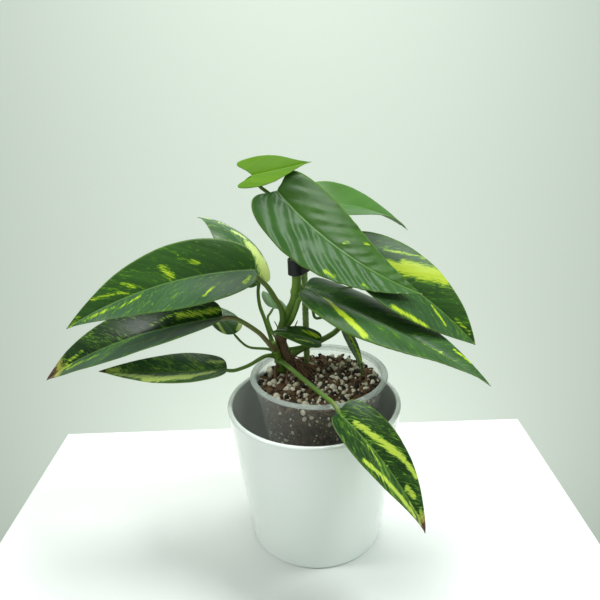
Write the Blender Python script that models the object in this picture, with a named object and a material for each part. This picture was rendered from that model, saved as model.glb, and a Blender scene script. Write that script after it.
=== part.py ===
"""A climbing aroid with long pointed leaves, in a clear nursery pot inside a white cover pot.

Frame: +Z up, origin at the centre of the cover pot's flat base, +Y away from the front.
Sizes below are in millimetres and degrees; MM turns them into Blender's metres.
"""
from math import cos, hypot, pi, radians, sin

import bmesh
import bpy
import numpy as np
from mathutils import Vector

MM = 0.001
GAP = 0.3                       # clearance between pieces that touch
CUT_OVERRUN = 3.0               # how far a cutting guide reaches past the surfaces it cuts

# Cover pot: a tapered white cylinder with a rounded lip.
TURNED_SEGMENTS = 48
COVER_BASE_R = 50.9
COVER_RIM_R = 63.8
COVER_HEIGHT = 112.5
COVER_WALL = 3.8
COVER_FLOOR = 5.0
COVER_FOOT_CHAMFER = 1.5

# Nursery pot: thin clear plastic, standing on the cover pot's floor.
POT_X = 4.1                     # it stands a little off centre
POT_FOOT_Z = COVER_FLOOR + GAP
POT_BASE_R = 29.0
POT_TOP_R = 46.3
POT_TOP_Z = 134.2
POT_WALL = 0.9
POT_FLOOR = 1.2
FLANGE_R = 50.0
FLANGE_THICK = 1.8
DRAIN_HOLE_R = 3.0
DRAIN_RING_R = 18.0
DRAIN_HOLES = 6

# Potting mix: fills the nursery pot to just under its rim.
MIX_TOP_Z = 127.0
MIX_DOME = 1.5                  # how much higher the middle stands than the edge
SOCKET_Z = 96.0                 # bottom of the holes that hold the stake and the stems

# Support stake and the band that ties the stem to it.
STAKE_AT = (-4.0, 30.0)
STAKE_R = 2.4
STAKE_BOTTOM_Z = 98.0
STAKE_TOP_Z = 222.0
STAKE_SIDES = 12
BAND_BOTTOM_Z = 202.0
BAND_TOP_Z = 214.0
BAND_THICK = 1.0
BAND_SLACK = 0.7
BAND_STEM_AT = (-10.4, 22.9)    # middle and radius of the stem where the band goes round it
BAND_STEM_R = 3.8

# Stems: centre-line points and the radius at each end.
STEM_SIDES = 10
TUBE_SIDES = 8
TUBE_STEP = 7.0                 # spacing of the rings along a stem
SPRIG_STEP = 5.0                # and along a root
MAIN_STEM = dict(
    radii=(4.6, 2.6),
    route=[(-12, 18, 100), (-13, 18, 124), (-19, 19, 138), (-23, 20, 151), (-21, 20, 163), (-17, 21, 172),
           (-12, 22, 182), (-10, 22, 195), (-10, 23, 208), (-12, 24, 222), (-14, 25, 240), (-16, 24, 252)])
SIDE_SHOOT = dict(
    radii=(3.6, 2.8),
    route=[(-22, 17, 100), (-23, 16, 126), (-26, 15, 140), (-29, 14, 152)])

# Petioles, one for each leaf: the stem that it grows from, its radii, and its route to the blade.
PETIOLES = {
    "crown": ("main_stem", (1.7, 1.1), [(-16, 24, 247), (-20, 22, 255), (-27, 20, 262), (-33, 21, 267)]),
    "front_top": ("main_stem", (2.2, 1.6), [(-14, 25, 234), (-12, 19, 243), (-15, 17, 255)]),
    "back_right": ("main_stem", (1.8, 1.3), [(-12, 25, 226), (-7, 31, 233), (-2, 39, 240)]),
    "right_banded": ("main_stem", (2.6, 1.6), [(-18, 20, 137), (-10, 22, 142), (9, 25, 149), (19, 28, 154),
                                               (25, 33, 160), (29, 39, 172), (31, 42, 187), (29, 38, 203)]),
    "right_long": ("main_stem", (2.2, 1.7), [(-19, 20, 163), (-15, 15, 169), (-11, 12, 179), (-8, 11, 187)]),
    "front_hanging": ("side_shoot", (1.9, 1.5), [(-25, 16, 136), (-21, 4, 140), (-9, -20, 141), (5, -42, 139),
                                                 (12, -53, 138)]),
    "small_hanging": ("main_stem", (1.3, 1.0), [(-10, 22, 197), (0, 28, 178), (3, 27, 166), (10, 22, 168),
                                                (19, 13, 168)]),
    "small_centre": ("main_stem", (1.3, 1.0), [(-20, 19, 144), (-10, 16, 147), (0, 15, 150), (6, 11, 151)]),
    "left_upper": ("main_stem", (2.4, 1.8), [(-22, 20, 156), (-22, 16, 163), (-21, 16, 171), (-22, 18, 178),
                                             (-26, 20, 185), (-32, 21, 195)]),
    "left_middle": ("side_shoot", (1.9, 1.7), [(-27, 14, 147), (-30, 9, 152), (-34, 8, 158), (-39, 8, 164),
                                               (-50, 9, 172), (-58, 10, 175)]),
    "left_lower": ("side_shoot", (1.6, 1.3), [(-27, 15, 141), (-35, 11, 143), (-46, 8, 138), (-53, 6, 136),
                                              (-59, 5, 135)]),
    "left_back": ("side_shoot", (1.7, 1.2), [(-28, 15, 147), (-30, 19, 152), (-32, 21, 159), (-35, 25, 168),
                                             (-38, 29, 176), (-39, 33, 186)]),
    "left_small": ("side_shoot", (1.2, 0.9), [(-27, 15, 144), (-33, 19, 145), (-47, 27, 143), (-54, 31, 146)]),
    "back_small": ("main_stem", (1.2, 0.9), [(-23, 20, 149), (-29, 27, 154), (-33, 35, 163), (-31, 39, 166)]),
}
PETIOLE_STOP = 2 * GAP          # between the end of a petiole and the underside of its blade

# Brown roots that prop the base of the stem: radii and route, each ending on the mix.
PROP_ROOTS = {
    "root_front": ((1.9, 1.2), [(-19, 19, 136), (-12, 13, 135), (-7, 9, 132.5), (-4, 6, 130)]),
    "root_right": ((1.7, 1.1), [(-15, 18, 129), (-9, 17, 131), (-2, 15, 132), (3, 14, 130)]),
    "root_back": ((1.5, 1.0), [(-14, 19, 128), (-11, 25, 131), (-8, 30, 131), (-7, 33, 130)]),
    "root_left": ((1.5, 1.0), [(-23, 16, 133), (-27, 11, 134), (-28, 7, 132), (-28, 4, 129.5)]),
}
OLD_SHEATH = ((1.5, 0.8), [(-22, 21, 153), (-14, 21, 159), (-10, 20, 167)])
DRY_TENDRIL = ((0.8, 0.5), [(-23, 20, 154), (-26, 15, 160), (-25, 15, 164), (-27, 15, 169)])

# Leaf blades. heading turns the blade's axis about +Z from +X; pitch lifts it above level;
# droop and sweep are how far it bends down and turns left by its tip; roll and twist turn it
# about its own axis at the base and by the tip; left and right are the widths of the halves;
# fold lifts the halves from the midrib; curl bends their edges down; lobe is how far the base
# reaches back past the petiole; widest is where along the blade it is widest, from 0 to 1.
BLADE_COLUMNS = ("base heading pitch droop sweep roll twist"
                 " length left right fold curl lobe widest").split()
BLADES = {
    "crown": ((-38, 22, 274), 1, 9, -4, 5, 22, -1, 42, 21, 20, 15, 0.14, 13, 0.25),
    "front_top": ((-21, 13, 265), -22, -48, -23, 34, 36, -1, 128, 30, 31, 7, 0.10, 14, 0.31),
    "back_right": ((3, 44, 247), 17, 2, 41, 11, 23, -11, 90, 26, 24, 19, 0.09, 7, 0.27),
    "right_banded": ((26, 29, 217), -9, -24, 24, -5, 25, 10, 120, 30, 41, 22, 0.14, 7, 0.35),
    "right_long": ((-5, 10, 195), -18, -16, 18, 3, 1, 3, 146, 36, 37, 23, 0.42, 7, 0.32),
    "front_hanging": ((14, -61, 137), -30, -36, 32, 11, 9, -1, 97, 23, 22, 23, 0.16, 6, 0.33),
    "small_hanging": ((22, 8, 166), -21, -56, 20, -1, 1, 2, 40, 8, 8, 14, 0.15, 2, 0.30),
    "small_centre": ((6, 8, 155), 182, 24, 20, -2, -14, -1, 38, 12, 11, 14, 0.15, 3, 0.30),
    "left_upper": ((-39, 22, 207), 192, 4, 32, 2, -33, -13, 139, 29, 30, 19, 0.12, 5, 0.32),
    "left_middle": ((-64, 10, 176), 183, -6, 30, -23, -14, -27, 160, 26, 27, 23, 0.13, 5, 0.35),
    "left_lower": ((-63, 5, 137), 188, 0, -3, -14, -10, -9, 94, 17, 18, 19, 0.13, 3, 0.33),
    "left_back": ((-36, 33, 193), 136, 72, 77, 9, 8, 6, 83, 22, 20, -2, 0.20, 6, 0.33),
    "left_small": ((-59, 34, 152), 139, 36, 23, -6, 1, 0, 40, 13, 13, 16, 0.15, 1, 0.29),
    "back_small": ((-28, 42, 169), 105, 15, 15, 4, 26, 11, 31, 10, 12, 18, 0.13, 4, 0.29),
}
BLADE_THICK = 0.8
BLADE_STEPS = 12                # cells along a blade
BLADE_CELLS = 3                 # cells across each half
BLADE_START = 0.012             # the base and the tip stop short of a point
BLADE_END = 0.985
BLADE_ROUNDNESS = 0.55          # exponent of the width near the base
LOBE_REACH = 0.10               # where along the blade the lobes reach back most
LOBE_SHAPE = 1.3
SPINE_POINTS = 49

# Colours (linear), roughness, metallic.
FINISHES = {
    "white_glaze": ((0.80, 0.82, 0.80), 0.15, 0.0),
    "clear_plastic": ((0.75, 0.78, 0.76), 0.20, 0.0),
    "potting_mix": ((0.06, 0.035, 0.02), 0.95, 0.0),
    "stake_green": ((0.35, 0.45, 0.20), 0.40, 0.0),
    "band_black": ((0.01, 0.01, 0.01), 0.50, 0.0),
    "stem_green": ((0.12, 0.20, 0.03), 0.50, 0.0),
    "root_brown": ((0.10, 0.05, 0.025), 0.85, 0.0),
    "leaf_green": ((0.02, 0.10, 0.015), 0.35, 0.0),
}


def clear_scene():
    for obj in list(bpy.data.objects):
        bpy.data.objects.remove(obj, do_unlink=True)


def material(node, finish):
    """A Principled material of the node's own."""
    colour, roughness, metallic = FINISHES[finish]
    mat = bpy.data.materials.new(node + "_finish")
    mat.use_nodes = True
    shader = mat.node_tree.nodes["Principled BSDF"]
    shader.inputs["Base Color"].default_value = (*colour, 1.0)
    shader.inputs["Roughness"].default_value = roughness
    shader.inputs["Metallic"].default_value = metallic
    return mat


def add_object(name, mesh, finish):
    mesh.materials.append(material(name, finish))
    obj = bpy.data.objects.new(name, mesh)
    bpy.context.scene.collection.objects.link(obj)
    return obj


def mesh_from(name, points_mm, faces):
    mesh = bpy.data.meshes.new(name)
    mesh.from_pydata([Vector(p) * MM for p in points_mm], [], faces)
    mesh.validate()
    return mesh


def point_outwards(mesh):
    bm = bmesh.new()
    bm.from_mesh(mesh)
    bmesh.ops.recalc_face_normals(bm, faces=bm.faces)
    bm.to_mesh(mesh)
    bm.free()


def smooth(mesh, angle=40):
    mesh.shade_smooth()
    mesh.set_sharp_from_angle(angle=radians(angle))


def cut(obj, cutter):
    """Subtract a guide object, which is left out of the model."""
    cutter.hide_render = True
    cutter.display_type = "WIRE"
    boolean = obj.modifiers.new("cut_" + cutter.name, "BOOLEAN")
    boolean.operation = "DIFFERENCE"
    boolean.object = cutter


# ---------------------------------------------------------------- turned pieces

def turned_mesh(name, profile, centre_x=0.0):
    """Turn a profile of (radius, height) about an upright axis; it starts and ends on the axis."""
    bm = bmesh.new()
    verts = [bm.verts.new(((centre_x + r) * MM, 0.0, z * MM)) for r, z in profile]
    edges = [bm.edges.new(pair) for pair in zip(verts, verts[1:])]
    bmesh.ops.spin(bm, geom=verts + edges, cent=(centre_x * MM, 0.0, 0.0), axis=(0.0, 0.0, 1.0),
                   angle=2 * pi, steps=TURNED_SEGMENTS, use_merge=True)
    bmesh.ops.remove_doubles(bm, verts=bm.verts, dist=0.01 * MM)
    bmesh.ops.recalc_face_normals(bm, faces=bm.faces)
    mesh = bpy.data.meshes.new(name)
    bm.to_mesh(mesh)
    bm.free()
    smooth(mesh)
    return mesh


def lip_arc(radius, height, half_thickness, steps=6):
    """The half circle that rounds the top of a wall, from its outer to its inner side."""
    angles = [pi * i / steps for i in range(steps + 1)]
    return [(radius + half_thickness * cos(a), height + half_thickness * sin(a)) for a in angles]


def make_cover_pot():
    half = COVER_WALL / 2
    lip_z = COVER_HEIGHT - half
    chamfer = COVER_FOOT_CHAMFER
    inner_base_r = COVER_BASE_R + (COVER_RIM_R - COVER_BASE_R) * COVER_FLOOR / COVER_HEIGHT - COVER_WALL
    profile = [(0.0, 0.0), (COVER_BASE_R - chamfer, 0.0), (COVER_BASE_R, chamfer)]
    profile += lip_arc(COVER_RIM_R - half, lip_z, half)
    profile += [(inner_base_r, COVER_FLOOR + chamfer), (inner_base_r - chamfer, COVER_FLOOR)]
    profile += [(0.0, COVER_FLOOR)]
    return add_object("cover_pot", turned_mesh("cover_pot", profile), "white_glaze")


def make_nursery_pot():
    inner_base_r = POT_BASE_R - POT_WALL
    profile = [
        (0.0, POT_FOOT_Z),
        (POT_BASE_R, POT_FOOT_Z),
        (POT_TOP_R, POT_TOP_Z - FLANGE_THICK),
        (FLANGE_R, POT_TOP_Z - FLANGE_THICK),
        (FLANGE_R, POT_TOP_Z),
        (POT_TOP_R - POT_WALL, POT_TOP_Z),
        (inner_base_r, POT_FOOT_Z + POT_FLOOR),
        (0.0, POT_FOOT_Z + POT_FLOOR),
    ]
    pot = add_object("nursery_pot", turned_mesh("nursery_pot", profile, POT_X), "clear_plastic")
    ring = [2 * pi * i / DRAIN_HOLES for i in range(DRAIN_HOLES)]
    holes = [(0.0, 0.0)] + [(DRAIN_RING_R * cos(a), DRAIN_RING_R * sin(a)) for a in ring]
    low, high = POT_FOOT_Z - CUT_OVERRUN, POT_FOOT_Z + POT_FLOOR + CUT_OVERRUN
    for index, (x, y) in enumerate(holes):
        cut(pot, upright_cylinder(f"drain_{index}", (POT_X + x, y), DRAIN_HOLE_R, low, high))
    return pot


def pot_inner_radius(z):
    """Inside radius of the nursery pot's wall at a height."""
    floor_z = POT_FOOT_Z + POT_FLOOR
    share = (z - floor_z) / (POT_TOP_Z - floor_z)
    return POT_BASE_R - POT_WALL + (POT_TOP_R - POT_BASE_R) * share


def make_potting_mix(buried):
    bottom = POT_FOOT_Z + POT_FLOOR + GAP
    edge_r = pot_inner_radius(MIX_TOP_Z) - GAP
    profile = [(0.0, bottom), (pot_inner_radius(bottom) - GAP, bottom), (edge_r, MIX_TOP_Z)]
    profile += [(edge_r * k, MIX_TOP_Z + MIX_DOME * (1 - k * k)) for k in (0.75, 0.5, 0.25, 0.0)]
    mix = add_object("potting_mix", turned_mesh("potting_mix", profile, POT_X), "potting_mix")
    socket_top = MIX_TOP_Z + MIX_DOME + CUT_OVERRUN
    cut(mix, upright_cylinder("stake_socket", STAKE_AT, STAKE_R + GAP, SOCKET_Z, socket_top))
    for cutter in buried:
        cut(mix, cutter)
    return mix


def upright_cylinder(name, centre, radius, bottom, top, sides=16):
    mesh = tube_mesh(name, [(*centre, bottom), (*centre, top)], (radius, radius), sides)
    return add_object(name, mesh, "root_brown")


# ---------------------------------------------------------------- stems

def smooth_route(points, step=TUBE_STEP):
    """Points about a step apart on a smooth curve through the given ones."""
    pts = [np.array(p, dtype=float) for p in points]
    pts = [2 * pts[0] - pts[1]] + pts + [2 * pts[-1] - pts[-2]]
    out = [pts[1]]
    for p0, p1, p2, p3 in zip(pts, pts[1:], pts[2:], pts[3:]):
        cells = max(1, round(float(np.linalg.norm(p2 - p1)) / step))
        for i in range(1, cells + 1):
            t = i / cells
            out.append(0.5 * (2 * p1 + (p2 - p0) * t + (2 * p0 - 5 * p1 + 4 * p2 - p3) * t * t
                              + (3 * p1 - p0 - 3 * p2 + p3) * t ** 3))
    return out


def lofted_mesh(name, points, sides, rings, closed=False):
    """Join rings of points into a skin, with flat ends or, when closed, back to the first ring."""
    faces = []
    for i in range(rings if closed else rings - 1):
        here, there = i * sides, (i + 1) % rings * sides
        faces += [(here + k, here + (k + 1) % sides, there + (k + 1) % sides, there + k)
                  for k in range(sides)]
    if not closed:
        last = (rings - 1) * sides
        faces += [tuple(reversed(range(sides))), tuple(range(last, last + sides))]
    mesh = mesh_from(name, points, faces)
    point_outwards(mesh)
    smooth(mesh)
    return mesh


def tube_mesh(name, route, radii, sides):
    """A round tube with flat ends along a route, tapering from one radius to the other."""
    route = [Vector(p) for p in route]
    steps = [b - a for a, b in zip(route, route[1:])]
    tangents = [steps[0]] + [a + b for a, b in zip(steps, steps[1:])] + [steps[-1]]
    side = tangents[0].orthogonal().normalized()
    points = []
    for i, (centre, tangent) in enumerate(zip(route, tangents)):
        tangent = tangent.normalized()
        side = (side - tangent * side.dot(tangent)).normalized()
        other = tangent.cross(side)
        radius = radii[0] + (radii[1] - radii[0]) * i / (len(route) - 1)
        points += [centre + radius * (side * cos(2 * pi * k / sides) + other * sin(2 * pi * k / sides))
                   for k in range(sides)]
    return lofted_mesh(name, points, sides, len(route))


def make_stem(name, radii, route):
    """A stem that stands in the mix, with a guide a gap thicker that cuts its neighbours."""
    path = smooth_route(route)
    stem = add_object(name, tube_mesh(name, path, radii, STEM_SIDES), "stem_green")
    fat = tuple(r + GAP for r in radii)
    path = [path[0] + np.array((0, 0, -GAP))] + path[1:-1] + [path[-1] + np.array((0, 0, GAP))]
    clearance = name + "_clearance"
    guide = add_object(clearance, tube_mesh(clearance, path, fat, STEM_SIDES), "stem_green")
    return stem, guide


def make_petiole(leaf, guides):
    """A petiole that ends just under the base of its blade."""
    grows_from, radii, route = PETIOLES[leaf]
    _, centres, _, _, normals = blade_frames(dict(zip(BLADE_COLUMNS, BLADES[leaf])))
    end = centres[0] - normals[0] * (radii[1] + BLADE_THICK / 2 + PETIOLE_STOP)
    name = "petiole_" + leaf
    petiole = add_object(name, tube_mesh(name, smooth_route(route + [end]), radii, TUBE_SIDES), "stem_green")
    cut(petiole, guides[grows_from])
    return petiole


def make_sprig(name, finish, sprig, guides, grows_from="main_stem"):
    """A root, sheath or tendril that starts inside a stem and is cut back to the stem's surface."""
    radii, route = sprig
    mesh = tube_mesh(name, smooth_route(route, SPRIG_STEP), radii, TUBE_SIDES)
    sprig_object = add_object(name, mesh, finish)
    cut(sprig_object, guides[grows_from])
    return sprig_object


# ---------------------------------------------------------------- stake and band

def make_stake():
    """A round rod with a domed top."""
    shoulder = STAKE_TOP_Z - STAKE_R
    dome = [radians(30 * i) for i in range(3)]
    rings = [(STAKE_R, STAKE_BOTTOM_Z)] + [(STAKE_R * cos(a), shoulder + STAKE_R * sin(a)) for a in dome]
    points = []
    for radius, z in rings:
        for k in range(STAKE_SIDES):
            turn = 2 * pi * k / STAKE_SIDES
            points.append((STAKE_AT[0] + radius * cos(turn), STAKE_AT[1] + radius * sin(turn), z))
    mesh = lofted_mesh("support_stake", points, STAKE_SIDES, len(rings))
    return add_object("support_stake", mesh, "stake_green")


def band_outline(offset, steps=8):
    """A loop held taut round the stem and the stake, this far outside them."""
    stem = np.array(BAND_STEM_AT)
    stake = np.array(STAKE_AT)
    along = stake - stem
    angle = np.arctan2(along[1], along[0])
    lean = np.arccos((BAND_STEM_R - STAKE_R) / hypot(*along))
    outline = []
    for centre, radius, start, end in ((stem, BAND_STEM_R, angle + lean, angle + 2 * pi - lean),
                                       (stake, STAKE_R, angle - lean, angle + lean)):
        for i in range(steps + 1):
            a = start + (end - start) * i / steps
            outline.append(centre + (radius + offset) * np.array((cos(a), sin(a))))
    return outline


def make_band():
    inner = band_outline(BAND_SLACK)
    outer = band_outline(BAND_SLACK + BAND_THICK)
    corners = [(inner, BAND_BOTTOM_Z), (outer, BAND_BOTTOM_Z), (outer, BAND_TOP_Z), (inner, BAND_TOP_Z)]
    points = [(*p, z) for loop, z in corners for p in loop]
    mesh = lofted_mesh("tie_band", points, len(inner), len(corners), closed=True)
    return add_object("tie_band", mesh, "band_black")


# ---------------------------------------------------------------- leaf blades

def blade_width(u, widest):
    """Half width along the blade, 1 at its widest, round at the base and drawn out at the tip."""
    tail = BLADE_ROUNDNESS * (1 - widest) / widest
    return (u / widest) ** BLADE_ROUNDNESS * ((1 - u) / (1 - widest)) ** tail


def blade_frames(leaf):
    """Centres, tangents, side vectors and normals along the midrib."""
    u = np.linspace(0, 1, SPINE_POINTS)
    middle = (u[1:] + u[:-1]) / 2

    def direction(at):
        pitch = np.radians(leaf["pitch"] - leaf["droop"] * at)
        heading = np.radians(leaf["heading"] + leaf["sweep"] * at)
        flat = np.cos(pitch)
        return np.stack([flat * np.cos(heading), flat * np.sin(heading), np.sin(pitch)], 1)

    steps = direction(middle) * leaf["length"] / (SPINE_POINTS - 1)
    centres = np.vstack([(0, 0, 0), np.cumsum(steps, 0)])
    tangents = direction(u)
    heading = np.radians(leaf["heading"] + leaf["sweep"] * u)
    roll = np.radians(leaf["roll"] + leaf["twist"] * u)[:, None]
    level = np.stack([-np.sin(heading), np.cos(heading), 0 * heading], 1)
    upright = np.cross(tangents, level)
    sides = np.cos(roll) * level + np.sin(roll) * upright
    normals = np.cos(roll) * upright - np.sin(roll) * level
    return u, centres + np.array(leaf["base"]), tangents, sides, normals


def blade_surface(leaf, u, v):
    """Points and normals of the blade: u runs from base to tip, v from -1 (right) to 1 (left)."""
    spine, centres, tangents, sides, normals = blade_frames(leaf)
    half = np.where(v > 0, leaf["left"], leaf["right"])
    across = abs(v) * half * blade_width(u, leaf["widest"])
    back = leaf["lobe"] * (u / LOBE_REACH) * np.exp(1 - u / LOBE_REACH) * abs(v) ** LOBE_SHAPE
    along = u - back / leaf["length"]
    held = np.clip(along, 0, 1)

    def read(values):
        return np.stack([np.interp(held, spine, values[:, k]) for k in range(3)], -1)

    fold = np.radians(leaf["fold"])
    rise = across * np.sin(fold) - leaf["curl"] * across ** 2 / half
    sideways = np.sign(v) * across * np.cos(fold)
    overhang = np.minimum(along, 0) * leaf["length"]
    normal = read(normals)
    points = (read(centres) + overhang[..., None] * read(tangents) + sideways[..., None] * read(sides)
              + rise[..., None] * normal)
    return points, normal


def make_blade(name):
    """A closed sheet: an upper and a lower grid, joined round the edge."""
    leaf = dict(zip(BLADE_COLUMNS, BLADES[name]))
    columns = 2 * BLADE_CELLS + 1
    rows = BLADE_STEPS + 1
    u, v = np.meshgrid(np.linspace(BLADE_START, BLADE_END, rows), np.linspace(-1, 1, columns), indexing="ij")
    points, normal = blade_surface(leaf, u, v)
    lift = normal * BLADE_THICK / 2
    points = np.concatenate([(points + lift).reshape(-1, 3), (points - lift).reshape(-1, 3)])
    lower = rows * columns
    faces = []
    for i in range(rows - 1):
        for j in range(columns - 1):
            quad = (i * columns + j, (i + 1) * columns + j, (i + 1) * columns + j + 1, i * columns + j + 1)
            faces.append(quad)
            faces.append(tuple(lower + k for k in reversed(quad)))
    edge = list(range(columns))
    edge += [i * columns + columns - 1 for i in range(1, rows)]
    edge += [(rows - 1) * columns + j for j in range(columns - 2, -1, -1)]
    edge += [i * columns for i in range(rows - 2, 0, -1)]
    faces += [(a, b, lower + b, lower + a) for a, b in zip(edge, edge[1:] + edge[:1])]
    mesh = mesh_from("leaf_" + name, points.tolist(), faces)
    point_outwards(mesh)
    smooth(mesh, 60)
    return add_object("leaf_" + name, mesh, "leaf_green")


def main():
    clear_scene()
    make_cover_pot()
    make_nursery_pot()
    make_stake()
    make_band()
    _, main_guide = make_stem("main_stem", **MAIN_STEM)
    shoot, shoot_guide = make_stem("side_shoot", **SIDE_SHOOT)
    cut(shoot, main_guide)
    guides = {"main_stem": main_guide, "side_shoot": shoot_guide}
    make_potting_mix([main_guide, shoot_guide])
    for leaf in BLADES:
        make_blade(leaf)
        make_petiole(leaf, guides)
    for name, root in PROP_ROOTS.items():
        make_sprig(name, "root_brown", root, guides, "side_shoot" if name == "root_left" else "main_stem")
    make_sprig("old_sheath", "root_brown", OLD_SHEATH, guides)
    make_sprig("dry_tendril", "root_brown", DRY_TENDRIL, guides)


main()
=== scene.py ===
"""The looks of a potted philodendron: variegated blades on their petioles, a tied climbing stem,
a clear nursery pot full of bark mix, and a white glazed cover pot.

Lengths in the design tables are millimetres and degrees; MM turns them into metres.
"""
from math import cos, hypot, pi, radians, sin, tau

import bmesh
import bpy
import numpy as np
from mathutils import Matrix, Vector


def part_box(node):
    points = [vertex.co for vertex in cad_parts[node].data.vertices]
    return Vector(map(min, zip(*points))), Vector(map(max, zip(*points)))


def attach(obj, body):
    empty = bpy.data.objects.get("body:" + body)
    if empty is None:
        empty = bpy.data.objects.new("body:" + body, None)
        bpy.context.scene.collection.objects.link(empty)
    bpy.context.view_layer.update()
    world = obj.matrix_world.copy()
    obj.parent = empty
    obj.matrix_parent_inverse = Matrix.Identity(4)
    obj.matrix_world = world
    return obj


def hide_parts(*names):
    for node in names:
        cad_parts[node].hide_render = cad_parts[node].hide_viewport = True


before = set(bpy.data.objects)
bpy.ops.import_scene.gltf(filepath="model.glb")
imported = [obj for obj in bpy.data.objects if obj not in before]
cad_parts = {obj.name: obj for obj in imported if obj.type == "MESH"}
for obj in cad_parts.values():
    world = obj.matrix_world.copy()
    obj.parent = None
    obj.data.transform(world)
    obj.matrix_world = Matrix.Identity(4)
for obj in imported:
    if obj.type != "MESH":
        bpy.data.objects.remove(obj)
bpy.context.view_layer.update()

MM = 0.001
BODY = "root"

# The two pots, as the frame gives them, and the mix.
COVER_LOW, COVER_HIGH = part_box("cover_pot")
POT_LOW, POT_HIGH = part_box("nursery_pot")
COVER_RIM_R = (COVER_HIGH.x - COVER_LOW.x) / 2 / MM
COVER_HEIGHT = COVER_HIGH.z / MM
COVER_BASE_R = 50.9
COVER_WALL = 3.8
COVER_FLOOR = 5.0
POT_X = (POT_HIGH.x + POT_LOW.x) / 2 / MM
FLANGE_R = (POT_HIGH.x - POT_LOW.x) / 2 / MM
POT_TOP_Z = POT_HIGH.z / MM
POT_FOOT_Z = POT_LOW.z / MM
POT_BASE_R = 29.0
POT_TOP_R = 46.3
POT_WALL = 0.7
MIX_EDGE_Z = 127.0
MIX_EDGE_R = 44.2
MIX_INSET = 1.3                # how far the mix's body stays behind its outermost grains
MIX_SINK = 1.2                 # how far the grains' bed lies below the mix's edge
MIX_DOME = 0.8
GRAIN_DENSITY = 250000.0       # more points than fit, so that the spacing decides
PERLITE_CLUMPING = 0.92        # how bare of perlite the patches between its clumps are
GRAIN_COLUMNS = "Spacing Smallest Largest Depth Stretch Knobbliness Seed".split()
GRAIN_LENGTHS = GRAIN_COLUMNS[:4]

# Blades: the same design rows as the construction model.
BLADE_COLUMNS = ("base heading pitch droop sweep roll twist"
                 " length left right fold curl lobe widest").split()
BLADES = {
    "crown": ((-38, 22, 274), 1, 9, -4, 5, 22, -1, 42, 21, 20, 15, 0.14, 13, 0.25),
    "front_top": ((-21, 13, 265), -22, -48, -23, 34, 36, -1, 128, 30, 31, 7, 0.10, 14, 0.31),
    "back_right": ((3, 44, 247), 17, 2, 41, 11, 23, -11, 90, 26, 24, 19, 0.09, 7, 0.27),
    "right_banded": ((26, 29, 217), -9, -24, 24, -5, 25, 10, 120, 30, 41, 22, 0.14, 7, 0.35),
    "right_long": ((-5, 10, 195), -18, -16, 18, 3, 1, 3, 146, 36, 37, 23, 0.42, 7, 0.32),
    "front_hanging": ((14, -61, 137), -30, -36, 32, 11, 9, -1, 97, 23, 22, 23, 0.16, 6, 0.33),
    "small_hanging": ((22, 8, 166), -21, -56, 20, -1, 1, 2, 40, 8, 8, 14, 0.15, 2, 0.30),
    "small_centre": ((6, 8, 155), 182, 24, 20, -2, -14, -1, 38, 12, 11, 14, 0.15, 3, 0.30),
    "left_upper": ((-39, 22, 207), 192, 4, 32, 2, -33, -13, 139, 29, 30, 19, 0.12, 5, 0.32),
    "left_middle": ((-64, 10, 176), 183, -6, 30, -23, -14, -27, 160, 26, 27, 23, 0.13, 5, 0.35),
    "left_lower": ((-63, 5, 137), 188, 0, -3, -14, -10, -9, 94, 17, 18, 19, 0.13, 3, 0.33),
    "left_back": ((-36, 33, 193), 136, 72, 77, 9, 8, 6, 83, 22, 20, -2, 0.20, 6, 0.33),
    "left_small": ((-59, 34, 152), 139, 36, 23, -6, 1, 0, 40, 13, 13, 16, 0.15, 1, 0.29),
    "back_small": ((-28, 42, 169), 105, 15, 15, 4, 26, 11, 31, 10, 12, 18, 0.13, 4, 0.29),
}
SIDE_VEIN_SPACING = 9.0
QUILT_SPACING = {"front_top": 12.5}           # mm between quilted ridges where they are wider apart
SIDE_VEIN_LEAN = 0.9                          # how far towards the tip a side vein runs
SIDE_VEIN_BEND = 1.12                         # and how much it bends on its way out
EDGE_WAVE = 2.2                               # mm of waviness at the margin of a blade this long:
EDGE_WAVE_LENGTH = 130
BLADE_ROUNDNESS = 0.55
LOBE_REACH = 0.10
LOBE_SHAPE = 1.3
BLADE_CELLS_ALONG = 150
BLADE_CELLS_ACROSS = 46
BLADE_THICK = 0.45
MARGIN_SHARE = 0.05                           # of the half width, in the margin's paler green
SPINE_POINTS = 49
GROOVE_DEPTH = 0.30                           # of the groove over the midrib

# How each blade is coloured: marbling (how much of it is flecked), pale (how light its green is), cream
# (0 lime yellow, 1 cream), dry length of the tip in mm, quilting height in mm, and how much of its left
# and right halves take a waxy grey-green, partly its own tone and partly a painted reflection of bluish
# gloss.
COLOURING_COLUMNS = "marbling pale cream dry quilt grey_left grey_right".split()
COLOURING = {
    "crown": (0.35, 0.50, 0.2, 0, 0.05, 0, 0),
    "front_top": (0.12, 0.60, 0.0, 2, 0.42, 0.0, 0.30),
    "back_right": (0.00, 0.85, 0.0, 1, 0.03, 0.2, 0.4),
    "right_banded": (0.68, 0.32, 0.1, 2, 0.02, 0.1, 0.4),
    "right_long": (0.66, 0.40, 0.1, 2, 0.09, 0.35, 0.35),
    "front_hanging": (0.95, 0.12, 0.3, 13, 0.02, 0.0, 0.1),
    "small_hanging": (0.60, 0.45, 0.1, 1, 0.04, 0, 0),
    "small_centre": (0.50, 0.36, 0.1, 1, 0.05, 0, 0),
    "left_upper": (0.70, 0.38, 0.1, 2, 0.025, 0.75, 0.15),
    "left_middle": (0.75, 0.08, 0.2, 24, 0.02, 0.75, 0.0),
    "left_lower": (0.95, 0.32, 0.7, 9, 0.02, 0.2, 0.70),
    "left_back": (0.75, 0.45, 0.9, 2, 0.02, 0.5, 0.8),
    "left_small": (0.30, 0.65, 0.9, 1, 0.04, 0.6, 0.6),
    "back_small": (0.20, 0.90, 0.5, 1, 0.04, 0.6, 0.6),
}
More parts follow.
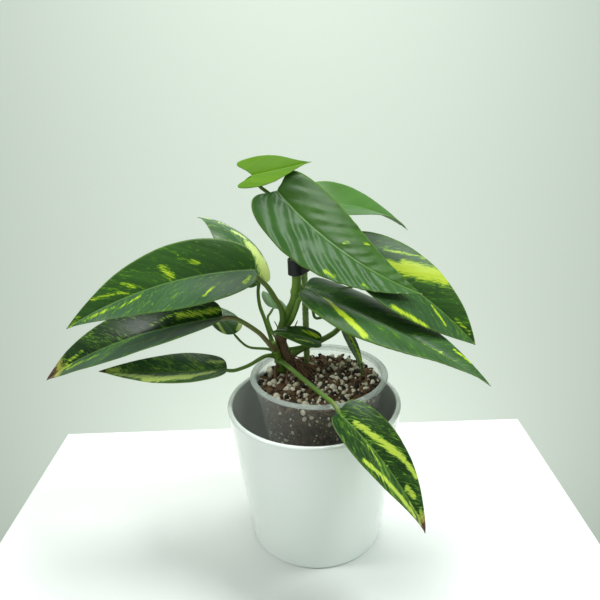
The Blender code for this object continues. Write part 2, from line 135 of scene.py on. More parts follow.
# Bright streaks on the blades, each from one place to another (share of the length, and across from
# -1 right to 1 left), with its width in mm and its strength.
STREAKS = {
    "front_top": [(0.46, 0.22, 0.48, 0.32, 3.0, 0.8), (0.57, 0.70, 0.60, 0.82, 3.0, 0.8),
                  (0.46, -0.84, 0.50, -0.85, 4.0, 0.9), (0.64, -0.80, 0.67, -0.86, 3.0, 0.8)],
    "right_banded": [(0.28, 0.20, 0.39, 0.38, 8.0, 1.2), (0.38, 0.36, 0.60, 0.95, 12.0, 1.35),
                     (0.23, 0.54, 0.45, 0.98, 3.0, 0.8), (0.40, -0.90, 0.64, -0.97, 5.0, 1.0),
                     (0.63, -0.11, 0.75, -0.50, 3.5, 0.9), (0.80, 0.20, 0.92, 0.40, 3.0, 0.7)],
    "right_long": [(0.125, -0.21, 0.24, -0.62, 3.5, 1.3), (0.22, -0.55, 0.37, -0.90, 4.5, 1.35),
                   (0.63, -0.12, 0.72, 0.03, 3.0, 0.9), (0.78, 0.68, 0.87, 0.98, 3.0, 1.0),
                   (0.40, -0.50, 0.50, -0.62, 2.0, 0.6), (0.42, 0.30, 0.52, 0.55, 2.5, 0.6),
                   (0.70, -0.30, 0.76, -0.20, 2.5, 0.7)],
    "front_hanging": [(0.13, 0.16, 0.30, 0.30, 4.0, 1.1), (0.28, 0.28, 0.52, 0.66, 5.0, 1.25),
                      (0.56, 0.71, 0.66, 0.90, 4.0, 1.2), (0.33, -0.80, 0.48, -0.66, 4.5, 1.0),
                      (0.48, -0.66, 0.80, -0.74, 5.0, 1.1), (0.66, 0.22, 0.74, 0.33, 4.5, 1.0),
                      (0.74, -0.16, 0.91, 0.00, 3.0, 1.15), (0.16, -0.45, 0.30, -0.20, 2.0, 0.6),
                      (0.28, -0.10, 0.42, -0.30, 2.5, 0.8), (0.84, 0.50, 0.94, 0.40, 3.0, 0.9),
                      (0.42, 0.00, 0.55, 0.10, 2.0, 0.6)],
    "left_upper": [(0.38, -0.60, 0.34, -0.46, 4.0, 0.72), (0.33, -0.44, 0.29, -0.32, 4.0, 0.78),
                   (0.46, -0.42, 0.43, -0.14, 7.0, 0.80), (0.66, -0.52, 0.61, -0.24, 4.0, 0.78),
                   (0.60, -0.22, 0.57, -0.06, 2.5, 0.7), (0.82, -0.80, 0.72, -0.34, 3.5, 0.78),
                   (0.70, -0.30, 0.65, -0.10, 3.0, 0.72), (0.92, -0.50, 0.97, 0.20, 4.0, 0.72),
                   (0.30, 0.75, 0.24, 0.55, 3.0, 0.8), (0.60, 0.20, 0.72, 0.45, 3.0, 0.75),
                   (0.74, 0.30, 0.90, 0.50, 4.0, 0.68), (0.10, 0.75, 0.05, 0.50, 3.0, 0.8)],
    "left_middle": [(0.03, -0.60, 0.20, -0.30, 7.0, 0.85), (0.22, -0.40, 0.34, -0.20, 4.0, 0.6),
                    (0.60, 0.40, 0.80, 0.50, 5.0, 0.65), (0.72, -0.30, 0.84, -0.20, 4.0, 0.6),
                    (0.80, 0.10, 0.92, 0.10, 5.0, 0.9), (0.30, 0.55, 0.45, 0.60, 3.0, 0.55)],
    "left_lower": [(0.12, 0.30, 0.34, 0.62, 5.0, 1.1), (0.30, 0.55, 0.60, 0.80, 7.0, 1.3),
                   (0.55, 0.60, 0.85, 0.50, 6.0, 1.05), (0.04, -0.80, 0.16, -0.50, 4.0, 0.8),
                   (0.86, -0.20, 0.97, 0.10, 5.0, 1.1), (0.45, -0.10, 0.60, -0.30, 3.0, 0.6)],
    "left_back": [(0.36, -0.45, 0.22, -0.60, 13.0, 1.3), (0.22, -0.60, 0.08, -0.70, 15.0, 1.4),
                  (0.48, -0.55, 0.56, -0.20, 5.0, 1.2), (0.86, -0.40, 0.98, 0.20, 4.0, 1.1),
                  (0.66, -0.60, 0.74, -0.20, 3.0, 0.9), (0.10, -0.10, 0.24, -0.20, 3.0, 0.7)],
    "left_small": [(0.10, 0.95, 0.90, 0.90, 3.0, 1.3), (0.05, -0.60, 0.15, -0.90, 3.0, 1.1)],
    "small_centre": [(0.10, -0.45, 0.35, -0.50, 4.0, 0.9), (0.20, 0.55, 0.50, 0.60, 3.0, 0.7)],
    "small_hanging": [(0.15, 0.30, 0.75, 0.60, 3.0, 1.0)],
}

# Petioles: radii at the stem and at the blade, and the route between them.
PETIOLE_AGES = {"left_middle": 0.85, "front_hanging": 0.45, "left_upper": 0.60, "crown": 0.10,
                "left_back": 0.30, "right_banded": 0.62, "left_small": 0.25, "back_small": 0.15}
PETIOLE_AGE = 0.45
FOOT_SWELL = 0.35                             # how much thicker a petiole is at its base,
KNEE_SWELL = 0.12                             # and at the knee just under its blade
KNEE_AT = 0.93
KEEL_SHARE = 0.62                             # the midrib's keel against the petiole's end
KEEL_TIP_R = 0.25
PETIOLES = {
    "crown": ((1.7, 1.1), [(-16, 24, 247), (-20, 22, 255), (-27, 20, 262), (-33, 21, 267)]),
    "front_top": ((2.2, 1.6), [(-14, 25, 234), (-12, 19, 243), (-15, 17, 255)]),
    "back_right": ((1.8, 1.3), [(-12, 25, 226), (-7, 31, 233), (-2, 39, 240)]),
    "right_banded": ((2.6, 1.6), [(-18, 20, 137), (-10, 22, 142), (9, 25, 149), (19, 28, 154),
                                  (25, 33, 160), (29, 39, 172), (31, 42, 187), (29, 38, 203)]),
    "right_long": ((2.2, 1.7), [(-19, 20, 163), (-15, 15, 169), (-11, 12, 179), (-8, 11, 187)]),
    "front_hanging": ((1.9, 1.5), [(-25, 16, 136), (-21, 4, 140), (-9, -20, 141), (5, -42, 139),
                                   (12, -53, 138)]),
    "small_hanging": ((1.3, 1.0), [(-10, 22, 197), (0, 28, 178), (3, 27, 166), (10, 22, 168),
                                   (19, 13, 168)]),
    "small_centre": ((1.3, 1.0), [(-20, 19, 144), (-10, 16, 147), (0, 15, 150), (6, 11, 151)]),
    "left_upper": ((2.4, 1.8), [(-22, 20, 156), (-22, 16, 163), (-21, 16, 171), (-22, 18, 178),
                                (-26, 20, 185), (-32, 21, 195)]),
    "left_middle": ((1.9, 1.7), [(-27, 14, 147), (-30, 9, 152), (-34, 8, 158), (-39, 8, 164),
                                 (-50, 9, 172), (-58, 10, 175)]),
    "left_lower": ((1.6, 1.3), [(-27, 15, 141), (-35, 11, 143), (-46, 8, 138), (-53, 6, 136),
                                (-59, 5, 135)]),
    "left_back": ((1.7, 1.2), [(-28, 15, 147), (-30, 19, 152), (-32, 21, 159), (-35, 25, 168),
                               (-38, 29, 176), (-39, 33, 186)]),
    "left_small": ((1.2, 0.9), [(-27, 15, 144), (-33, 19, 145), (-47, 27, 143), (-54, 31, 146)]),
    "back_small": ((1.2, 0.9), [(-23, 20, 149), (-29, 27, 154), (-33, 35, 163), (-31, 39, 166)]),
}
MAIN_STEM = ((4.6, 2.6), [(-12, 18, 112), (-13, 18, 124), (-19, 19, 138), (-23, 20, 151), (-21, 20, 163),
                          (-17, 21, 172), (-12, 22, 182), (-10, 22, 195), (-10, 23, 208), (-12, 24, 222),
                          (-14, 25, 240), (-16, 24, 252)])
SIDE_SHOOT = ((3.6, 2.8), [(-22, 17, 112), (-23, 16, 126), (-26, 15, 140), (-29, 14, 152)])
STEM_NODES = (0.18, 0.30, 0.44, 0.56, 0.70, 0.84, 0.95)      # where leaves grew, as shares of its length
SHOOT_NODES = (0.62, 0.80, 0.95)
PROP_ROOTS = {
    "root_front": ((1.9, 1.2), [(-19, 19, 136), (-12, 13, 135), (-7, 9, 132.5), (-4, 6, 127)]),
    "root_right": ((1.7, 1.1), [(-15, 18, 129), (-9, 17, 131), (-2, 15, 132), (3, 14, 127)]),
    "root_back": ((1.5, 1.0), [(-14, 19, 128), (-11, 25, 131), (-8, 30, 131), (-7, 33, 127)]),
    "root_left": ((1.5, 1.0), [(-23, 16, 133), (-27, 11, 134), (-28, 7, 132), (-28, 4, 127)]),
}
FIBRES = 22
FIBRES_FROM = (-16, 15, 137)
FIBRES_FAN = (-100, 95)                       # the first one's heading and the angle they spread over
FIBRES_REACH = (13, 27)
FIBRE_R = (0.55, 0.20)
OLD_SHEATH = ((1.5, 0.25), [(-22, 21, 153), (-14, 21, 159), (-10, 20, 167)])
DRY_TENDRIL = ((0.7, 0.3), [(-23, 20, 154), (-26, 15, 160), (-25, 15, 164), (-27, 15, 169)])

# Support stake and band.
STAKE_AT = (-4.0, 30.0)
STAKE_R = 2.4
STAKE_FOOT_Z = 110.0
STAKE_TOP_Z = 222.0
STAKE_RIB_PITCH = 4.0
BAND_STEM_AT = (-10.4, 22.9)
BAND_STEM_R = 3.8
BAND_SLACK = 0.7
BAND_THICK = 1.0
BAND_ROUNDING = 0.45
BAND_BOTTOM_Z = 202.0
BAND_TOP_Z = 214.0

# Camera and stage.
CAMERA_AT = (-7.8, -387.6, 336.3)
CAMERA_DOWN = 20.6
CAMERA_ROLL = 1.94
CAMERA_LENS = 35.74
FLOOR_CORNERS = (-250, 211, -420, 139)        # left, right, front and back edges
WALL_Y = 1500
WALL_SIZE = (3000, -1500, 2500)               # half its width, its foot and its top
ROOM_COLOUR = (0.86, 0.93, 0.88)
ROOM_STRENGTH = 0.44
# Round lights: place and aim in mm, size in metres, power in watts and colour.
LIGHTS = {
    "overhead": ((230, 330, 1300), (0, 0, 100), 0.45, 8, (1.0, 1.0, 0.98)),
    "window": ((860, -90, 1250), (0, 0, 200), 0.5, 9, (0.92, 1.0, 0.99)),
    "left": ((-900, -200, 1000), (0, 0, 100), 0.3, 5, (0.97, 1.0, 0.98)),
    "wall_high": ((0, 600, 1500), (0, 1500, 0), 1.0, 9, (0.98, 1.0, 0.98)),
    "wall_low": ((0, 500, -1500), (0, 1500, -300), 1.0, 12, (0.98, 1.0, 0.98)),
}


# ---------------------------------------------------------------- node trees

class Value:
    """A node's output that plain arithmetic can be written with."""

    def __init__(self, tree, socket):
        self.tree = tree
        self.socket = socket

    def __add__(self, other):
        return self.tree.combine("ADD", self, other)

    def __radd__(self, other):
        return self.tree.combine("ADD", other, self)

    def __sub__(self, other):
        return self.tree.combine("SUBTRACT", self, other)

    def __rsub__(self, other):
        return self.tree.combine("SUBTRACT", other, self)

    def __mul__(self, other):
        return self.tree.combine("MULTIPLY", self, other)

    def __rmul__(self, other):
        return self.tree.combine("MULTIPLY", self, other)

    def __truediv__(self, other):
        return self.tree.combine("DIVIDE", self, other)

    def __pow__(self, power):
        return self.tree.math("POWER", self, power)

    def __abs__(self):
        return self.tree.math("ABSOLUTE", self)


def is_vector(value):
    if isinstance(value, Value):
        return value.socket.type in ("VECTOR", "RGBA")
    return isinstance(value, tuple)


class Tree:
    """Short calls for building a geometry or shader node tree."""

    def __init__(self, tree):
        self.tree = tree

    def node(self, kind, inputs=(), **settings):
        """Add a node; inputs is a list of (socket name or number, value)."""
        node = self.tree.nodes.new(kind)
        for name, value in settings.items():
            setattr(node, name, value)
        for key, value in inputs:
            self.put(node.inputs[key], value)
        return node

    def put(self, socket, value):
        if isinstance(value, Value):
            self.tree.links.new(value.socket, socket)
        else:
            socket.default_value = value

    def value(self, kind, inputs=(), output=0, **settings):
        """Add a node and give one of its outputs."""
        return Value(self, self.node(kind, inputs, **settings).outputs[output])

    def give(self, results):
        """Lead results to the group's outputs, by their names."""
        out = self.node("NodeGroupOutput")
        for name, value in results.items():
            self.put(out.inputs[name], value)

    def math(self, operation, *values, clamp=False):
        return self.value("ShaderNodeMath", enumerate(values), operation=operation, use_clamp=clamp)

    def vector(self, operation, *values):
        return self.value("ShaderNodeVectorMath", enumerate(values), operation=operation)

    def combine(self, operation, a, b):
        """Arithmetic on two numbers, two vectors, or a vector and the number that scales it."""
        if is_vector(a) and is_vector(b):
            return self.vector(operation, a, b)
        if is_vector(a):
            return self.value("ShaderNodeVectorMath", [(0, a), ("Scale", b)], operation="SCALE")
        return self.math(operation, a, b)

    def join_xyz(self, x=0.0, y=0.0, z=0.0):
        return self.value("ShaderNodeCombineXYZ", [(0, x), (1, y), (2, z)])

    def split_xyz(self, vector):
        node = self.node("ShaderNodeSeparateXYZ", [(0, vector)])
        return [Value(self, socket) for socket in node.outputs]

    def ramp(self, value, low, high, to_low=0.0, to_high=1.0):
        """A smooth step from low to high."""
        ends = [(0, value), (1, low), (2, high), (3, to_low), (4, to_high)]
        return self.value("ShaderNodeMapRange", ends, interpolation_type="SMOOTHSTEP")

    def mix_colour(self, factor, a, b):
        first, second = (c if isinstance(c, Value) else (*c, 1.0) for c in (a, b))
        return self.value("ShaderNodeMix", [(0, factor), (6, first), (7, second)], output=2, data_type="RGBA")

    def noise(self, vector, scale, detail=3.0, roughness=0.55, distortion=0.0, output="Fac"):
        return self.value("ShaderNodeTexNoise",
                          [("Vector", vector), ("Scale", scale), ("Detail", detail),
                           ("Roughness", roughness), ("Distortion", distortion)], output)

    def attribute(self, name, output="Vector"):
        return self.value("ShaderNodeAttribute", output=output, attribute_name=name)

    def store(self, geometry, name, vector):
        """Keep a vector on the points, for the materials to read."""
        return self.value("GeometryNodeStoreNamedAttribute",
                          [("Geometry", geometry), ("Name", name), ("Value", vector)],
                          data_type="FLOAT_VECTOR", domain="POINT")

    def finish_mesh(self, geometry, skin):
        """Make real meshes of what the tree built, in its material, and give them as its result."""
        real = self.value("GeometryNodeRealizeInstances", [(0, geometry)])
        skinned = self.value("GeometryNodeSetMaterial", [("Geometry", real), ("Material", skin)])
        self.give({"Geometry": skinned})


def new_group(name, kind, inputs, outputs):
    """A node group with its sockets, and the Tree and the inputs to build it with."""
    group = bpy.data.node_groups.new(name, kind)
    for socket_name, socket_type, default in inputs:
        socket = group.interface.new_socket(socket_name, in_out="INPUT", socket_type=socket_type)
        if default is not None:
            socket.default_value = default
    for socket_name, socket_type in outputs:
        group.interface.new_socket(socket_name, in_out="OUTPUT", socket_type=socket_type)
    tree = Tree(group)
    sockets = tree.node("NodeGroupInput").outputs
    return group, tree, {socket.name: Value(tree, socket) for socket in sockets if socket.name}


def object_from_tree(name, source, group, values):
    """Evaluate a geometry node tree on a source and keep the result as a plain mesh object."""
    carrier = bpy.data.objects.new(name + "_carrier", source)
    bpy.context.scene.collection.objects.link(carrier)
    modifier = carrier.modifiers.new("build", "NODES")
    modifier.node_group = group
    for item in group.interface.items_tree:
        if item.item_type == "SOCKET" and item.in_out == "INPUT" and item.name in values:
            modifier[item.identifier] = values[item.name]
    evaluated = carrier.evaluated_get(bpy.context.evaluated_depsgraph_get())
    mesh = bpy.data.meshes.new_from_object(evaluated)
    carrier.modifiers.clear()
    bpy.data.objects.remove(carrier)
    mesh.name = name
    return place_mesh(mesh)


def place_mesh(mesh):
    """An object for a finished mesh, in the scene under the mesh's name."""
    piece = bpy.data.objects.new(mesh.name, mesh)
    bpy.context.scene.collection.objects.link(piece)
    return piece


def mesh_piece(name, points_mm, faces, material=None):
    """An object from points in mm and the faces between them."""
    mesh = bpy.data.meshes.new(name)
    mesh.from_pydata([Vector(p) * MM for p in points_mm], [], faces)
    if material:
        mesh.materials.append(material)
    return place_mesh(mesh)


def band_faces(rings, count, closed=False):
    """Quads between each ring of points and the next, and back to the first if closed."""
    pairs = [(i, (i + 1) % rings) for i in range(rings if closed else rings - 1)]
    return [(i * count + k, i * count + (k + 1) % count, j * count + (k + 1) % count, j * count + k)
            for i, j in pairs for k in range(count)]


def declare(piece, slot, *nodes):
    """Tell the frame what a finished piece rides on and what it replaces; slot is not used."""
    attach(piece, BODY)
    if nodes:
        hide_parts(*nodes)
    return piece


FLOAT = "NodeSocketFloat"
VECTOR = "NodeSocketVector"
GEOMETRY = "NodeSocketGeometry"
MATERIAL = "NodeSocketMaterial"
INTEGER = "NodeSocketInt"
SHARP_ABOVE = radians(50)
SHADER_TREE = "ShaderNodeTree"
GEOMETRY_TREE = "GeometryNodeTree"


# ---------------------------------------------------------------- shared shader groups

def side_veins(tree, place, spacing):
    """Side veins that leave the midrib and bend towards the tip: their markings, and lanes along them."""
    along, across, seed = tree.split_xyz(place)
    out_from_rib = abs(across)
    start = along - out_from_rib ** SIDE_VEIN_BEND * SIDE_VEIN_LEAN
    side = tree.math("SIGN", across)
    lane = tree.join_xyz(start, out_from_rib * 0.40, seed * 7.3 + side * 31.0)
    phase = (start + tree.noise(lane, 0.12, 1.0) * 5.0) / spacing
    wave = tree.math("COSINE", phase * tau)
    fine_wave = tree.math("COSINE", phase * (tau * 4))
    markings = {
        "Vein": tree.ramp(wave, 0.90, 1.0),
        "Midrib": tree.ramp(out_from_rib, 0.8, 0.2),
        "Height": wave * -0.6 + fine_wave * -0.12,
    }
    return markings, lane


def marbling(tree, lane, amount, streak):
    """How yellow the marbling is: streaks and flecks that follow the side veins."""
    broad = tree.noise(lane, 0.055, 3.0, 0.6, 0.8)
    fine = tree.noise(lane, 0.42, 6.0, 0.70, 1.3)
    flecks = (fine - (0.84 - broad * 0.36) + amount * 0.17) * 4.0
    flecks = tree.math("MINIMUM", tree.math("MAXIMUM", flecks, 0.0), 0.62)
    ragged = (fine - 0.50) * 3.0
    streak = tree.ramp(streak + ragged * tree.ramp(streak, 0.02, 0.5), 0.25, 1.05)
    return tree.math("MAXIMUM", streak, flecks)


def leaf_pattern_group():
    """The markings of a blade: its veins, its yellow marbling and the slow clouding of its green."""
    group, tree, given = new_group(
        "leaf_pattern", SHADER_TREE,
        [("Place", VECTOR, None), ("Spacing", FLOAT, SIDE_VEIN_SPACING), ("Amount", FLOAT, 0.2),
         ("Streak", FLOAT, 0.0)],
        [("Vein", FLOAT), ("Midrib", FLOAT), ("Height", FLOAT), ("Yellow", FLOAT), ("Cloud", FLOAT)])
    markings, lane = side_veins(tree, given["Place"], given["Spacing"])
    markings["Yellow"] = marbling(tree, lane, given["Amount"], given["Streak"])
    markings["Cloud"] = tree.noise(lane, 0.05, 4.0, 0.6)
    tree.give(markings)
    return group


def mottle_group():
    """Broad, quiet colour variation, and a finer grain, for surfaces that aren't quite even."""
    group, tree, given = new_group(
        "mottle", SHADER_TREE,
        [("Place", VECTOR, None), ("Scale", FLOAT, 60.0), ("Contrast", FLOAT, 1.0)],
        [("Value", FLOAT), ("Fine", FLOAT)])
    broad = tree.noise(given["Place"], given["Scale"], 4.0, 0.6)
    tree.give({
        "Value": tree.math("ADD", (broad - 0.5) * given["Contrast"], 0.5, clamp=True),
        "Fine": tree.noise(given["Place"], given["Scale"] * 6.0, 3.0, 0.6),
    })
    return group


LEAF_PATTERN = leaf_pattern_group()
MOTTLE = mottle_group()


# ---------------------------------------------------------------- materials

def new_material(name, roughness=0.5, **plain):
    """A material, its Tree and its Principled shader with plain socket values set."""
    material = bpy.data.materials.new(name)
    material.use_nodes = True
    tree = Tree(material.node_tree)
    shader = material.node_tree.nodes["Principled BSDF"]
    shader.inputs["Roughness"].default_value = roughness
    for key, value in plain.items():
        shader.inputs[key.replace("_", " ")].default_value = value
    return material, tree, shader


def bump(tree, shader, height, distance, strength=1.0):
    relief = tree.value("ShaderNodeBump",
                        [("Strength", strength), ("Distance", distance), ("Height", height)])
    tree.put(shader.inputs["Normal"], relief)


def place_group(tree, group, inputs):
    """Put a shared group in a material and give its outputs by name."""
    node = tree.node("ShaderNodeGroup", node_tree=group)
    for name, value in inputs.items():
        tree.put(node.inputs[name], value)
    return {socket.name: Value(tree, socket) for socket in node.outputs}


def place_mottle(tree, scale, contrast):
    place = tree.value("ShaderNodeTexCoord", output="Object")
    return place_group(tree, MOTTLE, {"Place": place, "Scale": scale, "Contrast": contrast})


def dry_tip(tree, colour, dry, place):
    """Yellow, then brown and papery, towards the tip."""
    ragged = dry + tree.noise(place, 0.4, 2.0) * 0.35
    colour = tree.mix_colour(tree.ramp(ragged, 0.62, 0.80), colour, (0.42, 0.44, 0.08))
    return tree.mix_colour(tree.ramp(ragged, 0.80, 0.92), colour, (0.115, 0.058, 0.032))


def leaf_material(name, deep, fresh, rough, under=False, gloss=0.20):
    """Waxy blade: green flecked and streaked with yellow, a pale midrib and a dry brown tip."""
    material, tree, shader = new_material(name, rough, Specular_IOR_Level=gloss)
    place = tree.attribute("place")
    pale, amount, cream = tree.split_xyz(tree.attribute("colouring"))
    pattern = place_group(tree, LEAF_PATTERN,
                          {"Place": place, "Spacing": SIDE_VEIN_SPACING, "Amount": amount,
                           "Streak": tree.attribute("streak", "Fac")})
    cloud = pattern["Cloud"]
    lightness = tree.math("ADD", pale, (cloud - 0.5) * 0.9, clamp=True)
    colour = tree.mix_colour(lightness, deep, fresh)
    # Painted reflection mixed with the blade's own waxy grey-green: the marked halves turn bluish grey-green
    # where gloss would show.
    grey_and_sheen_mask = tree.attribute("grey", "Fac") * tree.ramp(cloud, 0.20, 0.70, 0.45, 1.0)
    colour = tree.mix_colour(grey_and_sheen_mask, colour, (0.050, 0.115, 0.062))
    colour = tree.mix_colour(pattern["Vein"] * 0.05, colour, (0.14, 0.30, 0.08))
    lime = tree.mix_colour(cream, (0.095, 0.255, 0.004), (0.22, 0.36, 0.08))
    yellow = tree.mix_colour(cream, (0.46, 0.60, 0.008), (0.58, 0.70, 0.22))
    colour = tree.mix_colour(tree.ramp(pattern["Yellow"], 0.05, 0.50), colour, lime)
    colour = tree.mix_colour(tree.ramp(pattern["Yellow"], 0.50, 0.95), colour, yellow)
    colour = tree.mix_colour(pattern["Midrib"] * 0.45, colour, (0.20, 0.36, 0.08))
    colour = tree.mix_colour(tree.attribute("margin", "Fac") * 0.4, colour, (0.24, 0.40, 0.07))
    colour = dry_tip(tree, colour, tree.attribute("dry", "Fac"), place)
    if under:
        colour = tree.mix_colour(0.5, colour, (0.17, 0.30, 0.11))
    tree.put(shader.inputs["Base Color"], colour)
    pebble = tree.noise(place, 1.6, 3.0) * 0.5
    bump(tree, shader, pattern["Height"] * 0.12 + pebble, 0.00025 if under else 0.00012)
    tree.put(shader.inputs["Roughness"], cloud * 0.12 + (rough - 0.06))
    return material


def stalk_material(name, green, brown, shine=0.42):
    """Petiole or stem skin: green, browner in long patches and at a husky foot."""
    material, tree, shader = new_material(name, shine)
    mottle = place_mottle(tree, 45.0, 1.5)
    length, age, husk = tree.split_xyz(tree.attribute("stalk"))
    foot = tree.ramp(length, 0.36, 0.22) * husk
    blush = mottle["Value"] + foot + (age - 0.5)
    colour = tree.mix_colour(tree.ramp(blush, 0.45, 0.95), green, brown)
    colour = tree.mix_colour(tree.ramp(mottle["Fine"], 0.45, 0.70) * 0.25, colour, (0.22, 0.30, 0.07))
    tree.put(shader.inputs["Base Color"], colour)
    bump(tree, shader, mottle["Fine"], 0.00015)
    return material


def grain_material(name, dark, light, roughness=0.85, gloss=0.25, scale=130.0, contrast=1.8, own_tone=0.4,
                   pits=0.0004):
    """Dry root, bark, crumb or mineral grain: each piece has its own tone and a pitted skin."""
    material, tree, shader = new_material(name, roughness, Specular_IOR_Level=gloss)
    mottle = place_mottle(tree, scale, contrast)
    tone = tree.value("ShaderNodeNewGeometry", output="Random Per Island")
    blend = mottle["Value"] * (1 - own_tone) + tone * own_tone
    tree.put(shader.inputs["Base Color"], tree.mix_colour(blend, dark, light))
    bump(tree, shader, mottle["Fine"], pits)
    return material


def mottled_material(name, roughness, colour, tint, scale, contrast=1.0, relief=None, **plain):
    """Two close colours in quiet patches; relief names the pattern, distance and strength of a bump."""
    material, tree, shader = new_material(name, roughness, **plain)
    mottle = place_mottle(tree, scale, contrast)
    tree.put(shader.inputs["Base Color"], tree.mix_colour(mottle["Value"], colour, tint))
    if relief:
        pattern, distance, strength = relief
        bump(tree, shader, mottle[pattern], distance, strength)
    return material


def glaze_material(name, roughness, colour, tint):
    """Glazed ceramic: even colour with a faint orange-peel and a clear gloss."""
    return mottled_material(name, roughness, colour, tint, 22.0, relief=("Value", 0.00025, 0.35),
                            Specular_IOR_Level=0.5, Coat_Weight=0.6, Coat_Roughness=0.06)


def clear_material(name, tint, facing_alpha, edge_alpha, roughness=0.14):
    """Thin clear plastic: see-through face on, whiter towards its edges and scuffs."""
    material, tree, shader = new_material(name, roughness, Specular_IOR_Level=0.6, Base_Color=(*tint, 1.0))
    mottle = place_mottle(tree, 70.0, 1.4)
    edge = tree.value("ShaderNodeLayerWeight", [("Blend", 0.45)], output="Facing")
    alpha = tree.ramp(edge, 0.05, 0.95, facing_alpha, edge_alpha)
    scuff = tree.ramp(mottle["Fine"], 0.50, 0.75) * 0.08
    tree.put(shader.inputs["Alpha"], tree.math("ADD", alpha, scuff, clamp=True))
    bump(tree, shader, mottle["Value"], 0.0002, 0.5)
    return material


LEAF_TOP = leaf_material("leaf_upper_skin", (0.006, 0.026, 0.005), (0.066, 0.190, 0.016), 0.30)
LEAF_UNDER = leaf_material("leaf_lower_skin", (0.05, 0.13, 0.035), (0.11, 0.24, 0.06), 0.55, under=True)
YOUNG_TOP = leaf_material("young_leaf_skin", (0.050, 0.150, 0.001), (0.115, 0.25, 0.001), 0.36, gloss=0.1)
PETIOLE_SKIN = stalk_material("petiole_skin", (0.10, 0.21, 0.018), (0.17, 0.13, 0.045))
STEM_SKIN = stalk_material("stem_skin", (0.13, 0.26, 0.018), (0.15, 0.085, 0.04), 0.48)
ROOT_SKIN = grain_material("root_skin", (0.08, 0.042, 0.024), (0.30, 0.18, 0.10))
BARK = grain_material("bark_and_husk", (0.024, 0.014, 0.008), (0.20, 0.120, 0.062))
CRUMB = grain_material("fine_mix", (0.020, 0.012, 0.007), (0.13, 0.078, 0.043), 0.95)
CHARCOAL = grain_material("charcoal", (0.008, 0.008, 0.008), (0.05, 0.045, 0.04), 0.7)
PERLITE = grain_material("perlite", (0.55, 0.49, 0.33), (0.95, 0.91, 0.76), 0.9, gloss=0.2, scale=260.0,
                         contrast=1.2, own_tone=0.55, pits=0.0006)
WHITE_GLAZE = glaze_material("white_glaze", 0.16, (0.84, 0.90, 0.85), (0.88, 0.93, 0.89))
# The cover pot's inside: the same white glaze made a little darker, as painted shade within the pot.
INNER_GLAZE_PAINTED_SHADE = glaze_material("inner_glaze_painted_shade", 0.30, (0.72, 0.77, 0.74), (0.80, 0.85, 0.82))
CLEAR_WALL = clear_material("clear_pot_wall", (0.55, 0.58, 0.54), 0.05, 0.30)
CLEAR_FLANGE = clear_material("clear_pot_flange", (0.50, 0.56, 0.52), 0.30, 0.75, 0.10)
BLACK_BAND = mottled_material("black_band", 0.55, (0.006, 0.008, 0.008), (0.018, 0.022, 0.022), 180.0,
                              relief=("Fine", 0.0001, 1.0))
STAKE_SKIN = mottled_material("pale_green_plastic", 0.30, (0.16, 0.30, 0.05), (0.34, 0.48, 0.16), 40.0,
                              relief=("Value", 0.0002, 1.0), Specular_IOR_Level=0.5, Subsurface_Weight=0.4,
                              Subsurface_Radius=(0.4, 0.8, 0.2), Subsurface_Scale=0.004)


# ---------------------------------------------------------------- blades

def blade_spine(leaf):
    """The midrib as a poly curve of evenly spaced points."""
    middle = (np.arange(SPINE_POINTS - 1) + 0.5) / (SPINE_POINTS - 1)
    pitch = np.radians(leaf["pitch"] - leaf["droop"] * middle)
    heading = np.radians(leaf["heading"] + leaf["sweep"] * middle)
    steps = np.stack([np.cos(pitch) * np.cos(heading), np.cos(pitch) * np.sin(heading), np.sin(pitch)], 1)
    steps *= leaf["length"] / (SPINE_POINTS - 1)
    return np.array(leaf["base"], dtype=float) + np.vstack([(0, 0, 0), np.cumsum(steps, 0)])


def poly_curve(name, points_mm):
    curve = bpy.data.curves.new(name, "CURVE")
    curve.dimensions = "3D"
    spline = curve.splines.new("POLY")
    spline.points.add(len(points_mm) - 1)
    for point, place in zip(spline.points, points_mm):
        point.co = (*(c * MM for c in place), 1.0)
    return curve


BLADE_INPUTS = ("length", "left", "right", "fold", "curl", "lobe", "widest", "roll", "twist",
                "quilt", "spacing", "wave", "seed")


def blade_outline(tree, given, u, v):
    """How far out from the midrib a share v of the blade's width is at a share u of its length."""
    is_left = tree.math("GREATER_THAN", v, 0.0)
    half = is_left * given["left"] + (1.0 - is_left) * given["right"]
    to_tip = 1.0 - given["widest"]
    near_base = (u / given["widest"]) ** BLADE_ROUNDNESS
    near_tip = ((1.0 - u) / to_tip) ** (BLADE_ROUNDNESS * (to_tip / given["widest"]))
    return is_left, half, abs(v) * half * (near_base * near_tip)


def blade_frame(tree, given, spine, share):
    """The place on the midrib, and the blade's directions along it, to its side and up from it."""
    sample = tree.node("GeometryNodeSampleCurve", [("Curves", spine), ("Factor", share)],
                       mode="FACTOR", use_all_curves=True)
    centre, tangent = (Value(tree, sample.outputs[name]) for name in ("Position", "Tangent"))
    level = tree.vector("NORMALIZE", tree.vector("CROSS_PRODUCT", (0.0, 0.0, 1.0), tangent))
    upright = tree.vector("CROSS_PRODUCT", tangent, level)
    roll = tree.math("RADIANS", given["roll"] + given["twist"] * share)
    sine = tree.math("SINE", roll)
    cosine = tree.math("COSINE", roll)
    return centre, tangent, level * cosine + upright * sine, upright * cosine - level * sine


